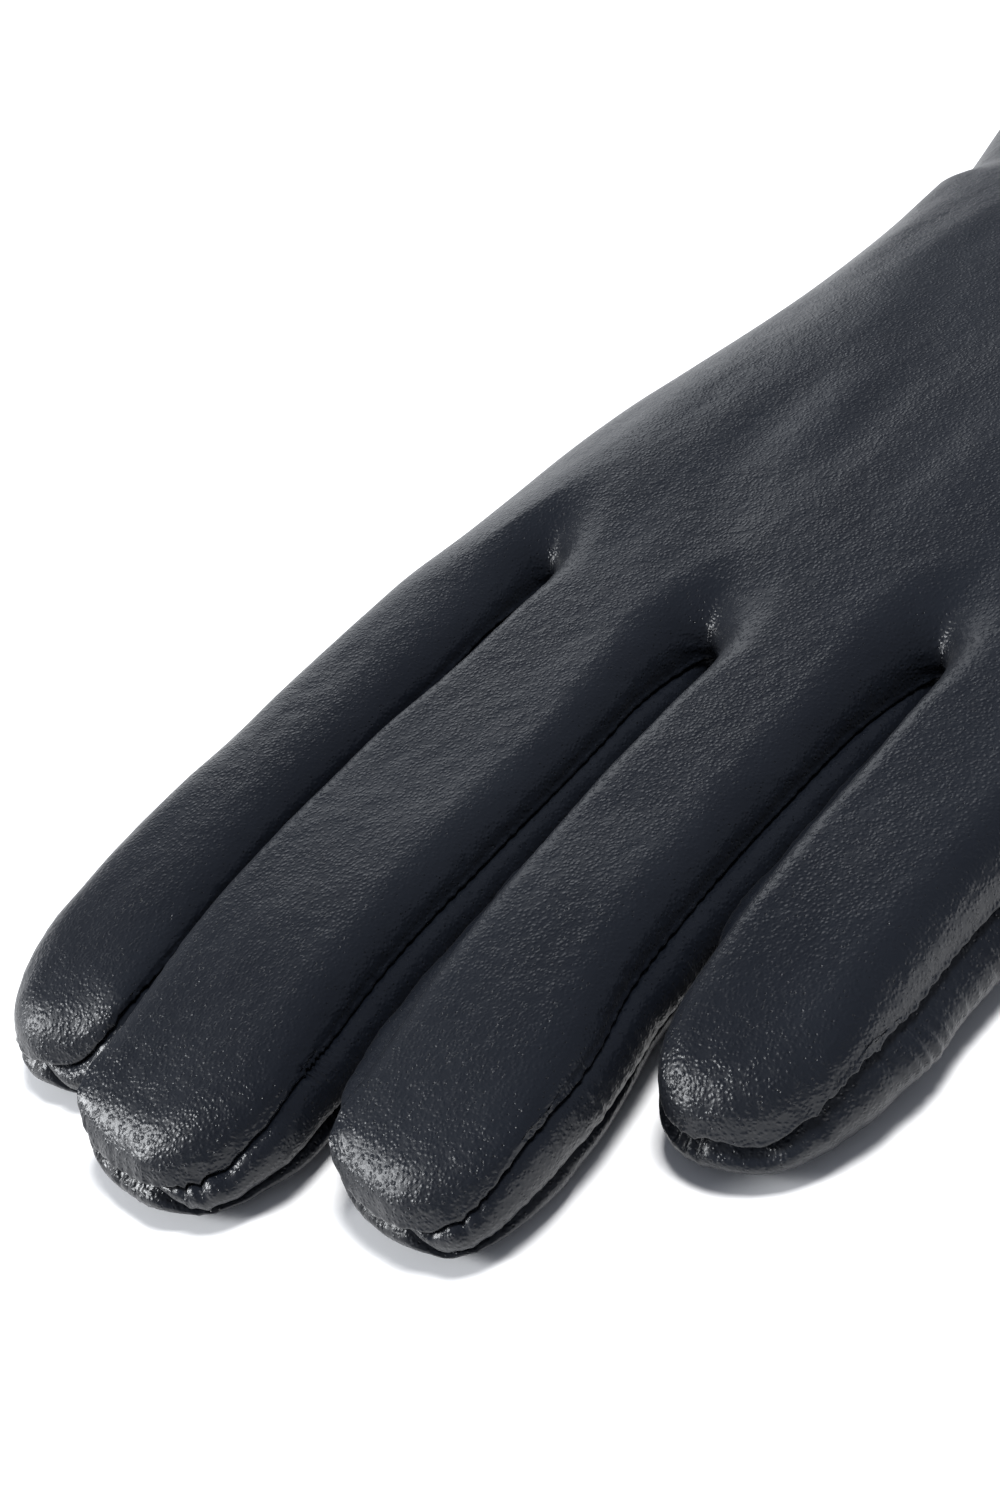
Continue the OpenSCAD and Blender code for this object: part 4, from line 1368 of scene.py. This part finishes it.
def make_lights():
    world = bpy.data.worlds.new("studio")
    bpy.context.scene.world = world
    world.use_nodes = True
    background = world.node_tree.nodes["Background"].inputs
    background["Color"].default_value = (0.90, 0.96, 1.10, 1)
    background["Strength"].default_value = 0.24
    overhead = add_light("overhead", [-190, -150, 880], 0.24, 11)
    overhead.visible_glossy = False      # it shapes the forms and casts the shadow; the others give the sheen
    add_light("side", [620, 620, 400], 0.24, 8.5, (0.96, 0.98, 1.0))
    add_light("back", [860, -560, 300], 0.5, 1.2, (0.94, 0.97, 1.0))


# The direction from which the camera looks, and how far it is turned about its own line of sight.
CAMERA_AZIMUTH, CAMERA_HEIGHT, CAMERA_ROLL = math.radians(234.6), math.radians(34.6), math.radians(-21.6)
CAMERA_DISTANCE, CAMERA_TARGET = 250.5, np.array([23.0, 14.4, 0.0])
LENS, SENSOR_TALL = 50.952, 36.0        # millimetres


def make_camera():
    c, s = math.cos(CAMERA_AZIMUTH), math.sin(CAMERA_AZIMUTH)
    back = np.array([s * math.cos(CAMERA_HEIGHT), -c * math.cos(CAMERA_HEIGHT), math.sin(CAMERA_HEIGHT)])
    level = np.array([c, s, 0.0])
    rise = np.cross(level, -back)
    c, s = math.cos(CAMERA_ROLL), math.sin(CAMERA_ROLL)
    right, up = c * level + s * rise, c * rise - s * level
    data = bpy.data.cameras.new("camera")
    data.sensor_fit = "VERTICAL"
    data.sensor_height = SENSOR_TALL
    data.lens = LENS
    data.clip_start, data.clip_end = 0.01, 20
    camera = bpy.data.objects.new("camera", data)
    bpy.context.scene.collection.objects.link(camera)
    place = to_metres(CAMERA_TARGET + back * CAMERA_DISTANCE)
    matrix = np.identity(4)
    matrix[:3] = np.column_stack([right, up, back, place])
    camera.matrix_world = Matrix(matrix.tolist())
    bpy.context.scene.camera = camera


def main():
    bpy.context.scene.view_settings.view_transform = "Standard"
    make_camera()
    leather, knit, thread = leather_material(), knit_material(), thread_material()
    whole = assemble()
    make_skin(whole, leather)
    make_stitches(whole, thread)
    make_hand_lining(knit)
    make_finger_linings(knit)
    make_hem(whole, leather, thread)
    make_wrist(elastic_material(), thread)
    make_label(label_material())
    make_thumb(leather, knit, thread)
    make_web("thumb_web", -0.2, leather)
    make_web("thumb_web_lining", 0.5, knit)
    make_floor()
    make_lights()


main()
